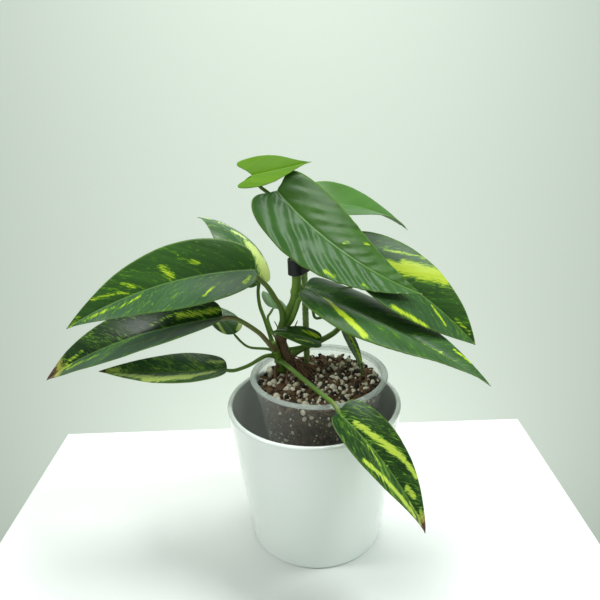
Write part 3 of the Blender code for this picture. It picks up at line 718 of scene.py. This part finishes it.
def blade_relief(tree, given, u, v, across, is_left):
    """How far the quilting, the margin's waves and the groove over the midrib lift the surface."""
    def shares(along, sideways):
        return tree.join_xyz(u * along, sideways, given["seed"])

    groove = -GROOVE_DEPTH * tree.math("EXPONENT", -0.8 * (across * across))
    vein = (u * given["length"] - SIDE_VEIN_LEAN * across ** SIDE_VEIN_BEND) / given["spacing"]
    vein = vein + tree.noise(shares(5.0, v * 0.4), 1.0, 1.0) * 0.8
    swell = given["quilt"] * tree.math("COSINE", vein * tau) * tree.math("MINIMUM", across * 0.25, 1.0)
    patchy = tree.noise(shares(7.0, v * 2.0), 1.0, 2.0)
    swell = swell * tree.ramp(patchy, 0.35, 0.65, 0.25, 1.5) * (1.0 - is_left * 0.65)
    ripple = tree.noise(shares(4.0, tree.math("SIGN", v) * 3.0), 1.0, 1.0) - 0.5
    return groove + (given["wave"] * ripple * abs(v) ** 2.5 - swell)


def blade_tree():
    """A blade swept along its midrib: rounded lobes, drawn-out tip, folded halves, quilting."""
    inputs = [("Geometry", GEOMETRY, None)] + [(name, FLOAT, 0.0) for name in BLADE_INPUTS]
    inputs += [("Skin", MATERIAL, None)]
    group, tree, given = new_group("leaf_blade", GEOMETRY_TREE, inputs, [("Geometry", GEOMETRY)])
    grid = tree.value("GeometryNodeMeshGrid", [("Size X", 1.0), ("Size Y", 2.0),
                                               ("Vertices X", BLADE_CELLS_ALONG + 1),
                                               ("Vertices Y", BLADE_CELLS_ACROSS + 1)])
    x, v, _ = tree.split_xyz(tree.value("GeometryNodeInputPosition"))
    u = 0.0012 + 0.9978 * (x + 0.5) ** 1.15
    is_left, half, across = blade_outline(tree, given, u, v)
    reach = u / LOBE_REACH
    back = given["lobe"] * abs(v) ** LOBE_SHAPE * (reach * tree.math("EXPONENT", 1.0 - reach))
    along = u - back / given["length"]
    on_spine = tree.math("MAXIMUM", along, 0.0)
    centre, tangent, side, normal = blade_frame(tree, given, given["Geometry"], on_spine)
    fold = tree.math("RADIANS", given["fold"])
    rise = across * tree.math("SINE", fold) - given["curl"] * (across * across / half)
    rise = rise + blade_relief(tree, given, u, v, across, is_left)
    side_sign = tree.math("SIGN", v)
    sideways = side_sign * across * tree.math("COSINE", fold)
    overhang = tree.math("MINIMUM", along, 0.0) * given["length"]
    offset = (tangent * overhang + side * sideways + normal * rise) * MM
    place = tree.join_xyz(along * given["length"], side_sign * across, given["seed"])
    noted = tree.store(tree.store(grid, "place", place), "share", tree.join_xyz(u, v, 0.0))
    moved = tree.value("GeometryNodeSetPosition", [("Geometry", noted), ("Position", centre + offset)])
    tree.finish_mesh(moved, given["Skin"])
    return group


def add_values(mesh, name, kind, values):
    layer = mesh.attributes.new(name, kind, "POINT")
    field = "vector" if kind == "FLOAT_VECTOR" else "value"
    layer.data.foreach_set(field, np.ravel(values).astype(np.float32))


def read_vectors(mesh, name):
    values = np.zeros(len(mesh.vertices) * 3, dtype=np.float32)
    mesh.attributes[name].data.foreach_get("vector", values)
    return values.reshape(-1, 3)


def blade_place(leaf, u, v):
    """Where a share of the length and of the width lies on the flattened blade, in mm."""
    tail = BLADE_ROUNDNESS * (1 - leaf["widest"]) / leaf["widest"]
    width = (u / leaf["widest"]) ** BLADE_ROUNDNESS * ((1 - u) / (1 - leaf["widest"])) ** tail
    half = np.where(np.asarray(v) > 0, leaf["left"], leaf["right"])
    return u * leaf["length"], v * half * width


def streak_field(leaf, streaks, x, y):
    """How strongly the streaks colour the flattened blade at x, y (mm)."""
    field = np.zeros(len(x))
    for u0, v0, u1, v1, width, strength in streaks:
        x0, y0 = blade_place(leaf, u0, v0)
        x1, y1 = blade_place(leaf, u1, v1)
        dx, dy = x1 - x0, y1 - y0
        share = np.clip(((x - x0) * dx + (y - y0) * dy) / (dx * dx + dy * dy), 0, 1)
        away = np.hypot(x - x0 - share * dx, y - y0 - share * dy)
        field = np.maximum(field, strength * np.exp(-(away / (0.62 * width)) ** 2))
    return field


def paint_blade(mesh, name, leaf, colouring):
    """Store how the blade is coloured: its streaks, marbling, dry tip, and waxy grey halves, partly painted
    reflection.
    """
    share = read_vectors(mesh, "share")
    u, v = share[:, 0], share[:, 1]
    x, y = blade_place(leaf, np.clip(u, 0, 0.9999), v)
    add_values(mesh, "streak", "FLOAT", streak_field(leaf, STREAKS.get(name, ()), x, y))
    from_tip = leaf["length"] - x
    dry = 1.0 - 0.5 * from_tip / colouring["dry"] if colouring["dry"] else np.zeros(len(x))
    add_values(mesh, "dry", "FLOAT", np.clip(dry, 0, 1))
    add_values(mesh, "margin", "FLOAT", np.clip((abs(v) - (1 - MARGIN_SHARE)) / MARGIN_SHARE, 0, 1))
    # Which halves take the waxy grey-green: partly the blade's own tone, partly a painted reflection of
    # bluish gloss.
    side = np.clip(y / 1.5, -1, 1)
    grey = (colouring["grey_left"] * (1 + side) + colouring["grey_right"] * (1 - side)) / 2
    add_values(mesh, "grey", "FLOAT", grey)
    triple = np.tile((colouring["pale"], colouring["marbling"], colouring["cream"]), (len(x), 1))
    add_values(mesh, "colouring", "FLOAT_VECTOR", triple)
    mesh.attributes.remove(mesh.attributes["share"])


def apply_modifiers(piece):
    """Bake the piece's modifiers into a plain mesh."""
    evaluated = piece.evaluated_get(bpy.context.evaluated_depsgraph_get())
    mesh = bpy.data.meshes.new_from_object(evaluated)
    piece.modifiers.clear()
    piece.data = mesh


def thicken(piece, thickness, offset=-1.0, under_slot=1):
    """Give a sheet its thickness, with the underside in its own material."""
    solidify = piece.modifiers.new("thickness", "SOLIDIFY")
    solidify.thickness = thickness * MM
    solidify.offset = offset
    solidify.use_even_offset = False
    solidify.material_offset = under_slot
    apply_modifiers(piece)


def make_blades():
    tree = blade_tree()
    for seed, (name, row) in enumerate(BLADES.items(), start=1):
        leaf = dict(zip(BLADE_COLUMNS, row))
        colouring = dict(zip(COLOURING_COLUMNS, COLOURING[name]))
        top, under, slot = LEAF_TOP, LEAF_UNDER, "leaf"
        if name == "crown":
            top, under, slot = YOUNG_TOP, YOUNG_TOP, "young_leaf"
        values = {key: float(leaf[key]) for key in BLADE_INPUTS if key in leaf}
        values.update(quilt=colouring["quilt"], spacing=QUILT_SPACING.get(name, SIDE_VEIN_SPACING),
                      wave=EDGE_WAVE * leaf["length"] / EDGE_WAVE_LENGTH, seed=float(seed), Skin=top)
        source = poly_curve("spine_" + name, blade_spine(leaf))
        piece = object_from_tree("blade_" + name, source, tree, values)
        paint_blade(piece.data, name, leaf, colouring)
        piece.data.materials.append(under)
        thicken(piece, BLADE_THICK)
        piece.data.shade_smooth()
        declare(piece, slot, "leaf_" + name)


# ---------------------------------------------------------------- stalks

def smooth_route(points, step):
    """Points about a step apart on a smooth curve through the given ones."""
    pts = [np.array(p, dtype=float) for p in points]
    pts = [2 * pts[0] - pts[1]] + pts + [2 * pts[-1] - pts[-2]]
    out = [pts[1]]
    for p0, p1, p2, p3 in zip(pts, pts[1:], pts[2:], pts[3:]):
        cells = max(1, round(float(np.linalg.norm(p2 - p1)) / step))
        for i in range(1, cells + 1):
            t = i / cells
            out.append(0.5 * (2 * p1 + (p2 - p0) * t + (2 * p0 - 5 * p1 + 4 * p2 - p3) * t * t
                              + (3 * p1 - p0 - 3 * p2 + p3) * t ** 3))
    return out


def stalk_tree():
    """A tapering tube along a curve whose points carry their radius, with closed ends."""
    group, tree, given = new_group(
        "stalk", GEOMETRY_TREE,
        [("Geometry", GEOMETRY, None), ("Sides", INTEGER, 14), ("Lumps", FLOAT, 0.05), ("Age", FLOAT, 0.5),
         ("Husk", FLOAT, 0.0), ("Skin", MATERIAL, None)], [("Geometry", GEOMETRY)])
    along = tree.value("GeometryNodeSplineParameter")
    noted = tree.store(given["Geometry"], "stalk", tree.join_xyz(along, given["Age"], given["Husk"]))
    ring = tree.value("GeometryNodeCurvePrimitiveCircle", [("Resolution", given["Sides"]), ("Radius", 1.0)])
    tube = tree.value("GeometryNodeCurveToMesh",
                      [("Curve", noted), ("Profile Curve", ring),
                       ("Scale", tree.value("GeometryNodeInputRadius")), ("Fill Caps", True)])
    lump = (tree.noise(tree.value("GeometryNodeInputPosition"), 180.0, 2.0) - 0.5) * (given["Lumps"] * MM)
    push = tree.value("GeometryNodeInputNormal") * lump
    moved = tree.value("GeometryNodeSetPosition", [("Geometry", tube), ("Offset", push)])
    tree.finish_mesh(moved, given["Skin"])
    return group


STALK = stalk_tree()


def make_stalk(name, route, radii, skin, age=0.5, lumps=0.15, sides=14, husk=0.0):
    """One tube through the route's points (mm), each with its own radius (mm)."""
    curve = poly_curve(name, route)
    for point, radius in zip(curve.splines[0].points, radii):
        point.radius = radius * MM
    piece = object_from_tree(name, curve, STALK,
                             {"Sides": sides, "Lumps": lumps, "Age": age, "Husk": husk, "Skin": skin})
    clean_up(piece)
    return piece


def clean_up(piece):
    bm = bmesh.new()
    bm.from_mesh(piece.data)
    bmesh.ops.recalc_face_normals(bm, faces=bm.faces)
    bm.to_mesh(piece.data)
    bm.free()
    piece.data.shade_smooth()
    piece.data.set_sharp_from_angle(angle=SHARP_ABOVE)


def midrib_points(leaf, radius, cells=26):
    """Points under the blade's midrib, and how thick the rib is at each."""
    spine = blade_spine(leaf)
    shares = np.linspace(0.03, 0.90, cells)
    known = np.linspace(0, 1, SPINE_POINTS)
    centres = np.stack([np.interp(shares, known, spine[:, k]) for k in range(3)], 1)
    tangents = np.gradient(centres, axis=0)
    tangents /= np.linalg.norm(tangents, axis=1)[:, None]
    level = np.cross((0, 0, 1), tangents)
    level /= np.linalg.norm(level, axis=1)[:, None]
    upright = np.cross(tangents, level)
    roll = np.radians(leaf["roll"] + leaf["twist"] * shares)[:, None]
    normals = np.cos(roll) * upright - np.sin(roll) * level
    ribs = KEEL_TIP_R + (KEEL_SHARE * radius - KEEL_TIP_R) * (1 - shares) ** 1.4
    drop = ribs * 0.78 + GROOVE_DEPTH + BLADE_THICK / 2
    return centres - normals * drop[:, None], ribs


def make_petioles():
    """Each petiole swells at its base, arches to its blade and runs on as the midrib's keel."""
    for name, (ends, route) in PETIOLES.items():
        leaf = dict(zip(BLADE_COLUMNS, BLADES[name]))
        keel, ribs = midrib_points(leaf, ends[1])
        free = smooth_route(list(route) + [tuple(keel[0])], 2.0)
        share = np.linspace(0, 1, len(free))
        radii = ends[0] + (ends[1] - ends[0]) * share ** 0.7
        radii = radii + FOOT_SWELL * ends[0] * np.exp(-(share / 0.10) ** 2)
        radii = radii + KNEE_SWELL * ends[1] * np.exp(-((share - KNEE_AT) / 0.05) ** 2)
        ease = np.clip((share - KNEE_AT) / (1 - KNEE_AT), 0, 1)
        radii = radii * (1 - ease) + ribs[0] * ease
        points = free + list(keel[1:])
        radii = list(radii) + list(ribs[1:])
        age = PETIOLE_AGES.get(name, PETIOLE_AGE)
        piece = make_stalk("petiole_and_keel_" + name, points, radii, PETIOLE_SKIN, age)
        declare(piece, "petiole", "petiole_" + name)


def swollen(route, ends, nodes=(), height=0.22, width=0.012):
    """Radii along a stem with a raised ring at each node."""
    share = np.linspace(0, 1, len(route))
    radii = ends[0] + (ends[1] - ends[0]) * share
    for node in nodes:
        radii = radii * (1 + height * np.exp(-((share - node) / width) ** 2))
    return radii


def make_stems():
    route = smooth_route(MAIN_STEM[1], 0.8)
    radii = swollen(route, MAIN_STEM[0], STEM_NODES)
    stem = make_stalk("climbing_stem", route, radii, STEM_SKIN, 0.5, 0.5, 18, husk=1.0)
    declare(stem, "stem", "main_stem")
    route = smooth_route(SIDE_SHOOT[1], 0.8)
    radii = swollen(route, SIDE_SHOOT[0], SHOOT_NODES)
    shoot = make_stalk("side_shoot_stem", route, radii, STEM_SKIN, 0.45, 0.5, 16, husk=0.9)
    declare(shoot, "stem", "side_shoot")


def make_dry_part(name, node, part, step=1.0, skin=ROOT_SKIN, lumps=0.9, sides=12):
    """One old brown lumpy piece: a root, a sheath or a tendril."""
    ends, points = part
    route = smooth_route(points, step)
    piece = make_stalk(name, route, swollen(route, ends), skin, 0.9, lumps, sides)
    declare(piece, "root_bark", node)


def make_roots():
    for name, part in PROP_ROOTS.items():
        make_dry_part("prop_" + name, name, part)
    make_root_fibres()
    make_dry_part("torn_sheath", "old_sheath", OLD_SHEATH, lumps=0.8)
    make_dry_part("dried_tendril", "dry_tendril", DRY_TENDRIL, 0.8, CHARCOAL, 0.4, 10)


def make_root_fibres():
    """A brush of thin brown roots that spreads from the foot of the stem over the mix."""
    rng = np.random.default_rng(11)
    curve = bpy.data.curves.new("root_fibres", "CURVE")
    curve.dimensions = "3D"
    first, fan = FIBRES_FAN
    for i in range(FIBRES):
        aim = radians(first + fan * i / (FIBRES - 1)) + rng.normal(0, 0.12)
        reach = rng.uniform(*FIBRES_REACH)
        start = np.array(FIBRES_FROM) + [rng.normal(0, 1.6), rng.normal(0, 1.6), rng.normal(0, 2.5)]
        end = np.array((start[0] + reach * cos(aim), start[1] + reach * sin(aim), MIX_EDGE_Z + 0.4))
        middle = (start + end) / 2 + [rng.normal(0, 1.5), rng.normal(0, 1.5), 1.5]
        route = smooth_route([start, middle, end], 1.5)
        spline = curve.splines.new("POLY")
        spline.points.add(len(route) - 1)
        for k, (point, place) in enumerate(zip(spline.points, route)):
            point.co = (*(c * MM for c in place), 1.0)
            point.radius = (FIBRE_R[0] + (FIBRE_R[1] - FIBRE_R[0]) * k / len(route)) * MM
    piece = object_from_tree("root_fibres", curve, STALK,
                             {"Sides": 7, "Lumps": 0.4, "Age": 0.9, "Skin": ROOT_SKIN})
    clean_up(piece)
    declare(piece, "root_bark")


# ---------------------------------------------------------------- stake and band

def circle(centre, radius, z, sides=32):
    return [(centre[0] + radius * cos(tau * k / sides), centre[1] + radius * sin(tau * k / sides), z)
            for k in range(sides)]


def make_stake(step=0.8):
    """A ribbed plastic rod with a rounded top."""
    shoulder = STAKE_TOP_Z - STAKE_R
    rings = []
    for i in range(int((shoulder - STAKE_FOOT_Z) / step) + 1):
        z = STAKE_FOOT_Z + step * i
        rings.append(circle(STAKE_AT, STAKE_R * (1.0 + 0.04 * cos(tau * z / STAKE_RIB_PITCH)), z))
    for a in range(0, 90, 10):
        rings.append(circle(STAKE_AT, STAKE_R * cos(radians(a)), shoulder + STAKE_R * sin(radians(a))))
    count = len(rings[0])
    last = (len(rings) - 1) * count
    faces = band_faces(len(rings), count)
    faces += [tuple(reversed(range(count))), tuple(range(last, last + count))]
    stake = mesh_piece("plant_stake", [p for ring in rings for p in ring], faces, STAKE_SKIN)
    clean_up(stake)
    declare(stake, "stake_plastic", "support_stake")


def band_outline(offset, steps=20):
    """A loop held taut round the stem and the stake, this far outside them."""
    stem, stake = np.array(BAND_STEM_AT), np.array(STAKE_AT)
    toward = stake - stem
    angle = np.arctan2(toward[1], toward[0])
    lean = np.arccos((BAND_STEM_R - STAKE_R) / hypot(*toward))
    outline = []
    for centre, radius, start, end in ((stem, BAND_STEM_R, angle + lean, angle + tau - lean),
                                       (stake, STAKE_R, angle - lean, angle + lean)):
        for i in range(steps + 1):
            a = start + (end - start) * i / steps
            outline.append(centre + (radius + offset) * np.array((cos(a), sin(a))))
    return outline


def make_band():
    """A soft plain band with rounded edges."""
    inner, outer = BAND_SLACK + BAND_ROUNDING, BAND_SLACK + BAND_THICK - BAND_ROUNDING
    low, high = BAND_BOTTOM_Z + BAND_ROUNDING, BAND_TOP_Z - BAND_ROUNDING
    section = []
    for turn, corner in enumerate(((outer, high), (inner, high), (inner, low), (outer, low))):
        section += arc(corner, BAND_ROUNDING, 90 * turn, 90 * turn + 90, 3)
    loops = [[(*p, z) for p in band_outline(offset)] for offset, z in section]
    faces = band_faces(len(loops), len(loops[0]), closed=True)
    band = mesh_piece("soft_tie_band", [p for loop in loops for p in loop], faces, BLACK_BAND)
    clean_up(band)
    declare(band, "band_rubber", "tie_band")


# ---------------------------------------------------------------- pots

def turned(name, profile, materials, slot, node, centre_x=0.0, segments=144, split=None):
    """Turn a profile of (radius, height) from axis to axis; split picks the second material's faces."""
    bm = bmesh.new()
    verts = [bm.verts.new(((centre_x + r) * MM, 0.0, z * MM)) for r, z in profile]
    edges = [bm.edges.new(pair) for pair in zip(verts, verts[1:])]
    bmesh.ops.spin(bm, geom=verts + edges, cent=(centre_x * MM, 0.0, 0.0), axis=(0.0, 0.0, 1.0),
                   angle=tau, steps=segments, use_merge=True)
    bmesh.ops.remove_doubles(bm, verts=bm.verts, dist=0.005 * MM)
    bmesh.ops.recalc_face_normals(bm, faces=bm.faces)
    mesh = bpy.data.meshes.new(name)
    bm.to_mesh(mesh)
    bm.free()
    for material in materials:
        mesh.materials.append(material)
    mesh.shade_smooth()
    mesh.set_sharp_from_angle(angle=radians(35))
    if split:
        for face in mesh.polygons:
            x, y, z = (c / MM for c in face.center)
            if split(hypot(x - centre_x, y), z):
                face.material_index = 1
    declare(place_mesh(mesh), slot, node)


def arc(centre, radius, start, end, steps):
    angles = [radians(start + (end - start) * i / steps) for i in range(steps + 1)]
    return [(centre[0] + radius * cos(a), centre[1] + radius * sin(a)) for a in angles]


def wall_line(start, end, steps):
    return [(start[0] + (end[0] - start[0]) * i / steps, start[1] + (end[1] - start[1]) * i / steps)
            for i in range(1, steps)]


def make_cover_pot():
    """A plain tapering pot with a rounded lip and foot; inside, the white glaze is a little darker, as
    painted shade.
    """
    half = COVER_WALL / 2
    lip_z = COVER_HEIGHT - half
    flare = (COVER_RIM_R - COVER_BASE_R) / COVER_HEIGHT
    foot, corner = 2.2, 4
    inner_base_r = COVER_BASE_R + flare * COVER_FLOOR - COVER_WALL
    profile = [(0.0, 0.0), (30.0, 0.0)]
    profile += arc((COVER_BASE_R - foot, foot), foot, -90, 0, 8)
    profile += wall_line(profile[-1], (COVER_RIM_R, lip_z), 24)
    profile += arc((COVER_RIM_R - half, lip_z), half, 0, 180, 14)
    profile += wall_line(profile[-1], (inner_base_r, COVER_FLOOR + corner), 20)
    profile += arc((inner_base_r - corner, COVER_FLOOR + corner), corner, 0, -90, 6)
    profile += [(0.0, COVER_FLOOR)]

    def inside(radius, z):
        return 1 < z < COVER_HEIGHT - 0.9 and radius < COVER_BASE_R + flare * z - 3.3

    turned("white_cover_pot", profile, [WHITE_GLAZE, INNER_GLAZE_PAINTED_SHADE], "cover_pot_glaze", "cover_pot",
           split=inside)


def make_nursery_pot():
    """Thin wall with two moulded steps, a rolled flange and a recessed base."""
    top, base, foot_z = POT_TOP_Z, POT_BASE_R, POT_FOOT_Z
    inner_top = POT_TOP_R - POT_WALL
    flange = 0.9
    profile = [(0.0, foot_z + 1.6), (base - 5, foot_z + 1.6), (base - 4, foot_z)]
    profile += arc((base - 1.5, foot_z + 1.5), 1.5, -90, 0, 4)
    profile += wall_line(profile[-1], (POT_TOP_R - 1.2, top - 14), 10)
    profile += [(POT_TOP_R - 1.2, top - 14), (POT_TOP_R - 0.4, top - 13.2), (POT_TOP_R, top - 2.4)]
    profile += arc((FLANGE_R - flange, top - flange - 0.4), flange, -80, 100, 10)
    profile += arc((inner_top + 1.2, top - 1.0), 1.0, 90, 180, 4)
    profile += [(inner_top - 0.2, top - 4), (inner_top - 0.6, top - 13.4), (inner_top - 1.4, top - 14.6)]
    profile += wall_line(profile[-1], (base - POT_WALL, foot_z + 2.6), 10)
    profile += [(base - POT_WALL - 1.0, foot_z + 2.4), (0.0, foot_z + 2.4)]

    def flange_zone(radius, z):
        return z > top - 3.2

    turned("clear_nursery_pot", profile, [CLEAR_WALL, CLEAR_FLANGE], "clear_plastic", "nursery_pot", POT_X,
           split=flange_zone)


# ---------------------------------------------------------------- potting mix

def pot_inside_r(z):
    share = (z - POT_FOOT_Z) / (POT_TOP_Z - POT_FOOT_Z)
    return POT_BASE_R + (POT_TOP_R - POT_BASE_R) * share - POT_WALL - 0.9


def make_mix_body():
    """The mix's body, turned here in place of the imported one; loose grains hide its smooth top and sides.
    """
    low_z = POT_FOOT_Z + 3
    edge_r = pot_inside_r(MIX_EDGE_Z) - MIX_INSET
    profile = [(0.0, low_z), (pot_inside_r(low_z) - MIX_INSET, low_z)]
    profile += wall_line(profile[-1], (edge_r, MIX_EDGE_Z - 1.0), 60)
    profile += [(edge_r * k, MIX_EDGE_Z - MIX_SINK + MIX_DOME * (1 - k * k)) for k in np.linspace(1, 0, 34)]
    turned("mix_body", profile, [CRUMB], "potting_mix", "potting_mix", POT_X, 120)


def random_vector(tree, low, high, seed):
    ends = [(0, low), (1, high), ("Seed", seed)]
    return tree.value("FunctionNodeRandomValue", ends, data_type="FLOAT_VECTOR")


def grain_rotation(tree, scatter, flat, seed):
    """Grains lie any way round, but chips lie nearly flat on the surface."""
    if not flat:
        turn = random_vector(tree, (0.0, 0.0, 0.0), (tau, tau, tau), seed)
        return tree.value("FunctionNodeEulerToRotation", [(0, turn)])
    turn = random_vector(tree, (-0.5, -0.5, 0.0), (0.5, 0.5, tau), seed)
    tilt = tree.value("FunctionNodeEulerToRotation", [(0, turn)])
    surface = Value(tree, scatter.outputs["Rotation"])
    return tree.value("FunctionNodeRotateRotation", [(0, surface), (1, tilt)], rotation_space="LOCAL")


def grain_tree(name, flat, subdivisions):
    """Scatter knobbly grains over a surface: sizes, stretch and how deep they sit are inputs."""
    group, tree, given = new_group(
        name, GEOMETRY_TREE,
        [("Geometry", GEOMETRY, None), ("Spacing", FLOAT, 0.004), ("Density", FLOAT, 20000.0),
         ("Clumping", FLOAT, 0.0), ("Smallest", FLOAT, 0.001), ("Largest", FLOAT, 0.003),
         ("Depth", FLOAT, 0.0), ("Stretch", VECTOR, (1, 1, 1)), ("Knobbliness", FLOAT, 0.4),
         ("Seed", INTEGER, 1), ("Skin", MATERIAL, None)], [("Geometry", GEOMETRY)])
    here = tree.value("GeometryNodeInputPosition")
    clump = tree.ramp(tree.noise(here, 95.0, 1.0), 0.44, 0.56)
    scatter = tree.node("GeometryNodeDistributePointsOnFaces", distribute_method="POISSON")
    wanted = {"Mesh": given["Geometry"], "Distance Min": given["Spacing"], "Density Max": given["Density"],
              "Density Factor": 1.0 - given["Clumping"] * (1.0 - clump), "Seed": given["Seed"]}
    for key, value in wanted.items():
        tree.put(scatter.inputs[key], value)
    points, normal = (Value(tree, scatter.outputs[key]) for key in ("Points", "Normal"))
    lowered = tree.value("GeometryNodeSetPosition",
                         [("Geometry", points), ("Offset", normal * given["Depth"])])
    ball = tree.value("GeometryNodeMeshIcoSphere", [("Radius", 1.0), ("Subdivisions", subdivisions)])
    size = tree.value("FunctionNodeRandomValue", [(2, given["Smallest"]), (3, given["Largest"]),
                                                  ("Seed", given["Seed"])], output=1, data_type="FLOAT")
    spread = random_vector(tree, (0.6, 0.6, 0.6), (1.3, 1.3, 1.3), given["Seed"])
    placed = tree.value("GeometryNodeInstanceOnPoints",
                        [("Points", lowered), ("Instance", ball),
                         ("Rotation", grain_rotation(tree, scatter, flat, given["Seed"])),
                         ("Scale", spread * given["Stretch"] * size)])
    real = tree.value("GeometryNodeRealizeInstances", [(0, placed)])
    jolt = tree.noise(tree.value("GeometryNodeInputPosition"), 420.0, 2.0, 0.6, output="Color")
    jolt = (jolt - (0.5, 0.5, 0.5)) * (given["Knobbliness"] * given["Largest"])
    rough = tree.value("GeometryNodeSetPosition", [("Geometry", real), ("Offset", jolt)])
    tree.finish_mesh(rough, given["Skin"])
    return group


def ring_round_pot(radius, z, segments):
    return circle((POT_X, 0.0), radius, z, segments)


def top_surface(radius, z, rings=14, segments=48):
    """The slightly domed surface that the top grains lie on."""
    bm = bmesh.new()
    centre = bm.verts.new((POT_X * MM, 0, (z + MIX_DOME) * MM))
    loops = []
    for i in range(1, rings + 1):
        k = i / rings
        ring = ring_round_pot(radius * k, z + MIX_DOME * (1 - k * k), segments)
        loops.append([bm.verts.new(Vector(p) * MM) for p in ring])
    for j in range(segments):
        m = (j + 1) % segments
        bm.faces.new((centre, loops[0][j], loops[0][m]))
        for inner, outer in zip(loops, loops[1:]):
            bm.faces.new((inner[j], outer[j], outer[m], inner[m]))
    mesh = bpy.data.meshes.new("mix_top")
    bm.to_mesh(mesh)
    bm.free()
    return mesh


def side_surface(low_z, high_z, inset, rings=24, segments=96):
    """The surface just inside the clear wall that the side grains lie on."""
    points = []
    for i in range(rings + 1):
        z = low_z + (high_z - low_z) * i / rings
        points += ring_round_pot(pot_inside_r(z) - inset, z, segments)
    mesh = bpy.data.meshes.new("mix_side")
    mesh.from_pydata([Vector(p) * MM for p in points], [], band_faces(rings + 1, segments))
    return mesh


def make_loose_grains():
    """The layers of bark, perlite and charcoal, each strewn over the top or the side of the mix."""
    knobs = grain_tree("round_grains", False, 2)
    crumbs = grain_tree("crumbs", False, 1)
    chips = grain_tree("flat_chips", True, 2)
    top = top_surface(MIX_EDGE_R - 1.8, MIX_EDGE_Z - MIX_SINK)
    side = side_surface(POT_FOOT_Z + 6, MIX_EDGE_Z - 1.5, 0.5)
    layers = (
        ("top_crumbs", top, crumbs, CRUMB, 1.4, 0.8, 1.6, 0.2, (1, 1, 1), 0.6, 3),
        ("top_bark_chips", top, chips, BARK, 3.6, 1.6, 3.6, 0.6, (1.5, 0.75, 0.38), 0.45, 5),
        ("top_perlite", top, knobs, PERLITE, 4.0, 1.1, 2.9, 1.2, (1, 0.85, 0.75), 0.9, 8),
        ("top_fine_perlite", top, crumbs, PERLITE, 3.6, 0.4, 1.1, 1.4, (1, 0.9, 0.85), 0.6, 9),
        ("top_charcoal", top, knobs, CHARCOAL, 10.0, 1.4, 2.6, 1.4, (1, 0.9, 0.8), 0.6, 13),
        ("side_chips", side, chips, BARK, 3.8, 1.4, 2.8, -0.6, (1.5, 0.8, 0.25), 0.25, 17),
        ("side_perlite", side, knobs, PERLITE, 5.0, 0.8, 2.0, -0.5, (1, 1, 0.8), 0.30, 21),
        ("side_fine_perlite", side, crumbs, PERLITE, 3.0, 0.3, 0.6, 0.3, (1, 1, 0.8), 0.3, 22),
    )
    for name, surface, tree, skin, *row in layers:
        values = dict(zip(GRAIN_COLUMNS, row))
        for key in GRAIN_LENGTHS:
            values[key] *= MM
        clumping = PERLITE_CLUMPING if skin is PERLITE else 0.0
        values.update(Density=GRAIN_DENSITY, Clumping=clumping, Skin=skin)
        piece = object_from_tree(name, surface, tree, values)
        clean_up(piece)
        declare(piece, "potting_mix")


# ---------------------------------------------------------------- stage, light and camera

def stage_piece(name, corners_mm, colour, roughness):
    shade = tuple(c * 0.98 for c in colour)
    material = mottled_material(name + "_paint", roughness, colour, shade, 3.0, 0.3)
    mesh_piece(name, corners_mm, [tuple(range(len(corners_mm)))], material)


def make_stage():
    left, right, front, back = FLOOR_CORNERS
    floor = [(left, front, 0), (right, front, 0), (right, back, 0), (left, back, 0)]
    stage_piece("floor", floor, (0.82, 0.84, 0.82), 0.6)
    wide, low, high = WALL_SIZE
    wall = [(-wide, WALL_Y, low), (wide, WALL_Y, low), (wide, WALL_Y, high), (-wide, WALL_Y, high)]
    stage_piece("backdrop", wall, (0.74, 0.81, 0.73), 0.9)


def area_light(name, place_mm, aim_mm, size, power, colour):
    light = bpy.data.lights.new(name, "AREA")
    light.shape = "DISK"
    light.size = size
    light.energy = power
    light.color = colour
    lamp = bpy.data.objects.new(name, light)
    place, aim = Vector(place_mm) * MM, Vector(aim_mm) * MM
    lamp.location = place
    lamp.rotation_euler = (aim - place).to_track_quat("-Z", "Y").to_euler()
    bpy.context.scene.collection.objects.link(lamp)


def make_light():
    world = bpy.data.worlds.new("soft_room")
    world.use_nodes = True
    background = world.node_tree.nodes["Background"]
    background.inputs["Color"].default_value = (*ROOM_COLOUR, 1.0)
    background.inputs["Strength"].default_value = ROOM_STRENGTH
    bpy.context.scene.world = world
    for name, row in LIGHTS.items():
        area_light(name, *row)


def make_camera():
    down, roll = radians(CAMERA_DOWN), radians(CAMERA_ROLL)
    right, up = Vector((1, 0, 0)), Vector((0, sin(down), cos(down)))
    forward = Vector((0, cos(down), -sin(down)))
    camera_right = right * cos(roll) - up * sin(roll)
    camera_up = right * sin(roll) + up * cos(roll)
    data = bpy.data.cameras.new("camera")
    data.lens = CAMERA_LENS
    data.sensor_width = 36.0
    data.clip_start = 0.01
    data.clip_end = 20.0
    camera = bpy.data.objects.new("camera", data)
    turn = Matrix((camera_right, camera_up, -forward)).transposed().to_4x4()
    camera.matrix_world = Matrix.Translation(Vector(CAMERA_AT) * MM) @ turn
    bpy.context.scene.collection.objects.link(camera)
    bpy.context.scene.camera = camera


make_camera()
make_stage()
make_light()
make_cover_pot()
make_nursery_pot()
make_mix_body()
make_loose_grains()
make_stake()
make_band()
make_stems()
make_roots()
make_petioles()
make_blades()
bpy.context.scene.view_settings.view_transform = "Standard"
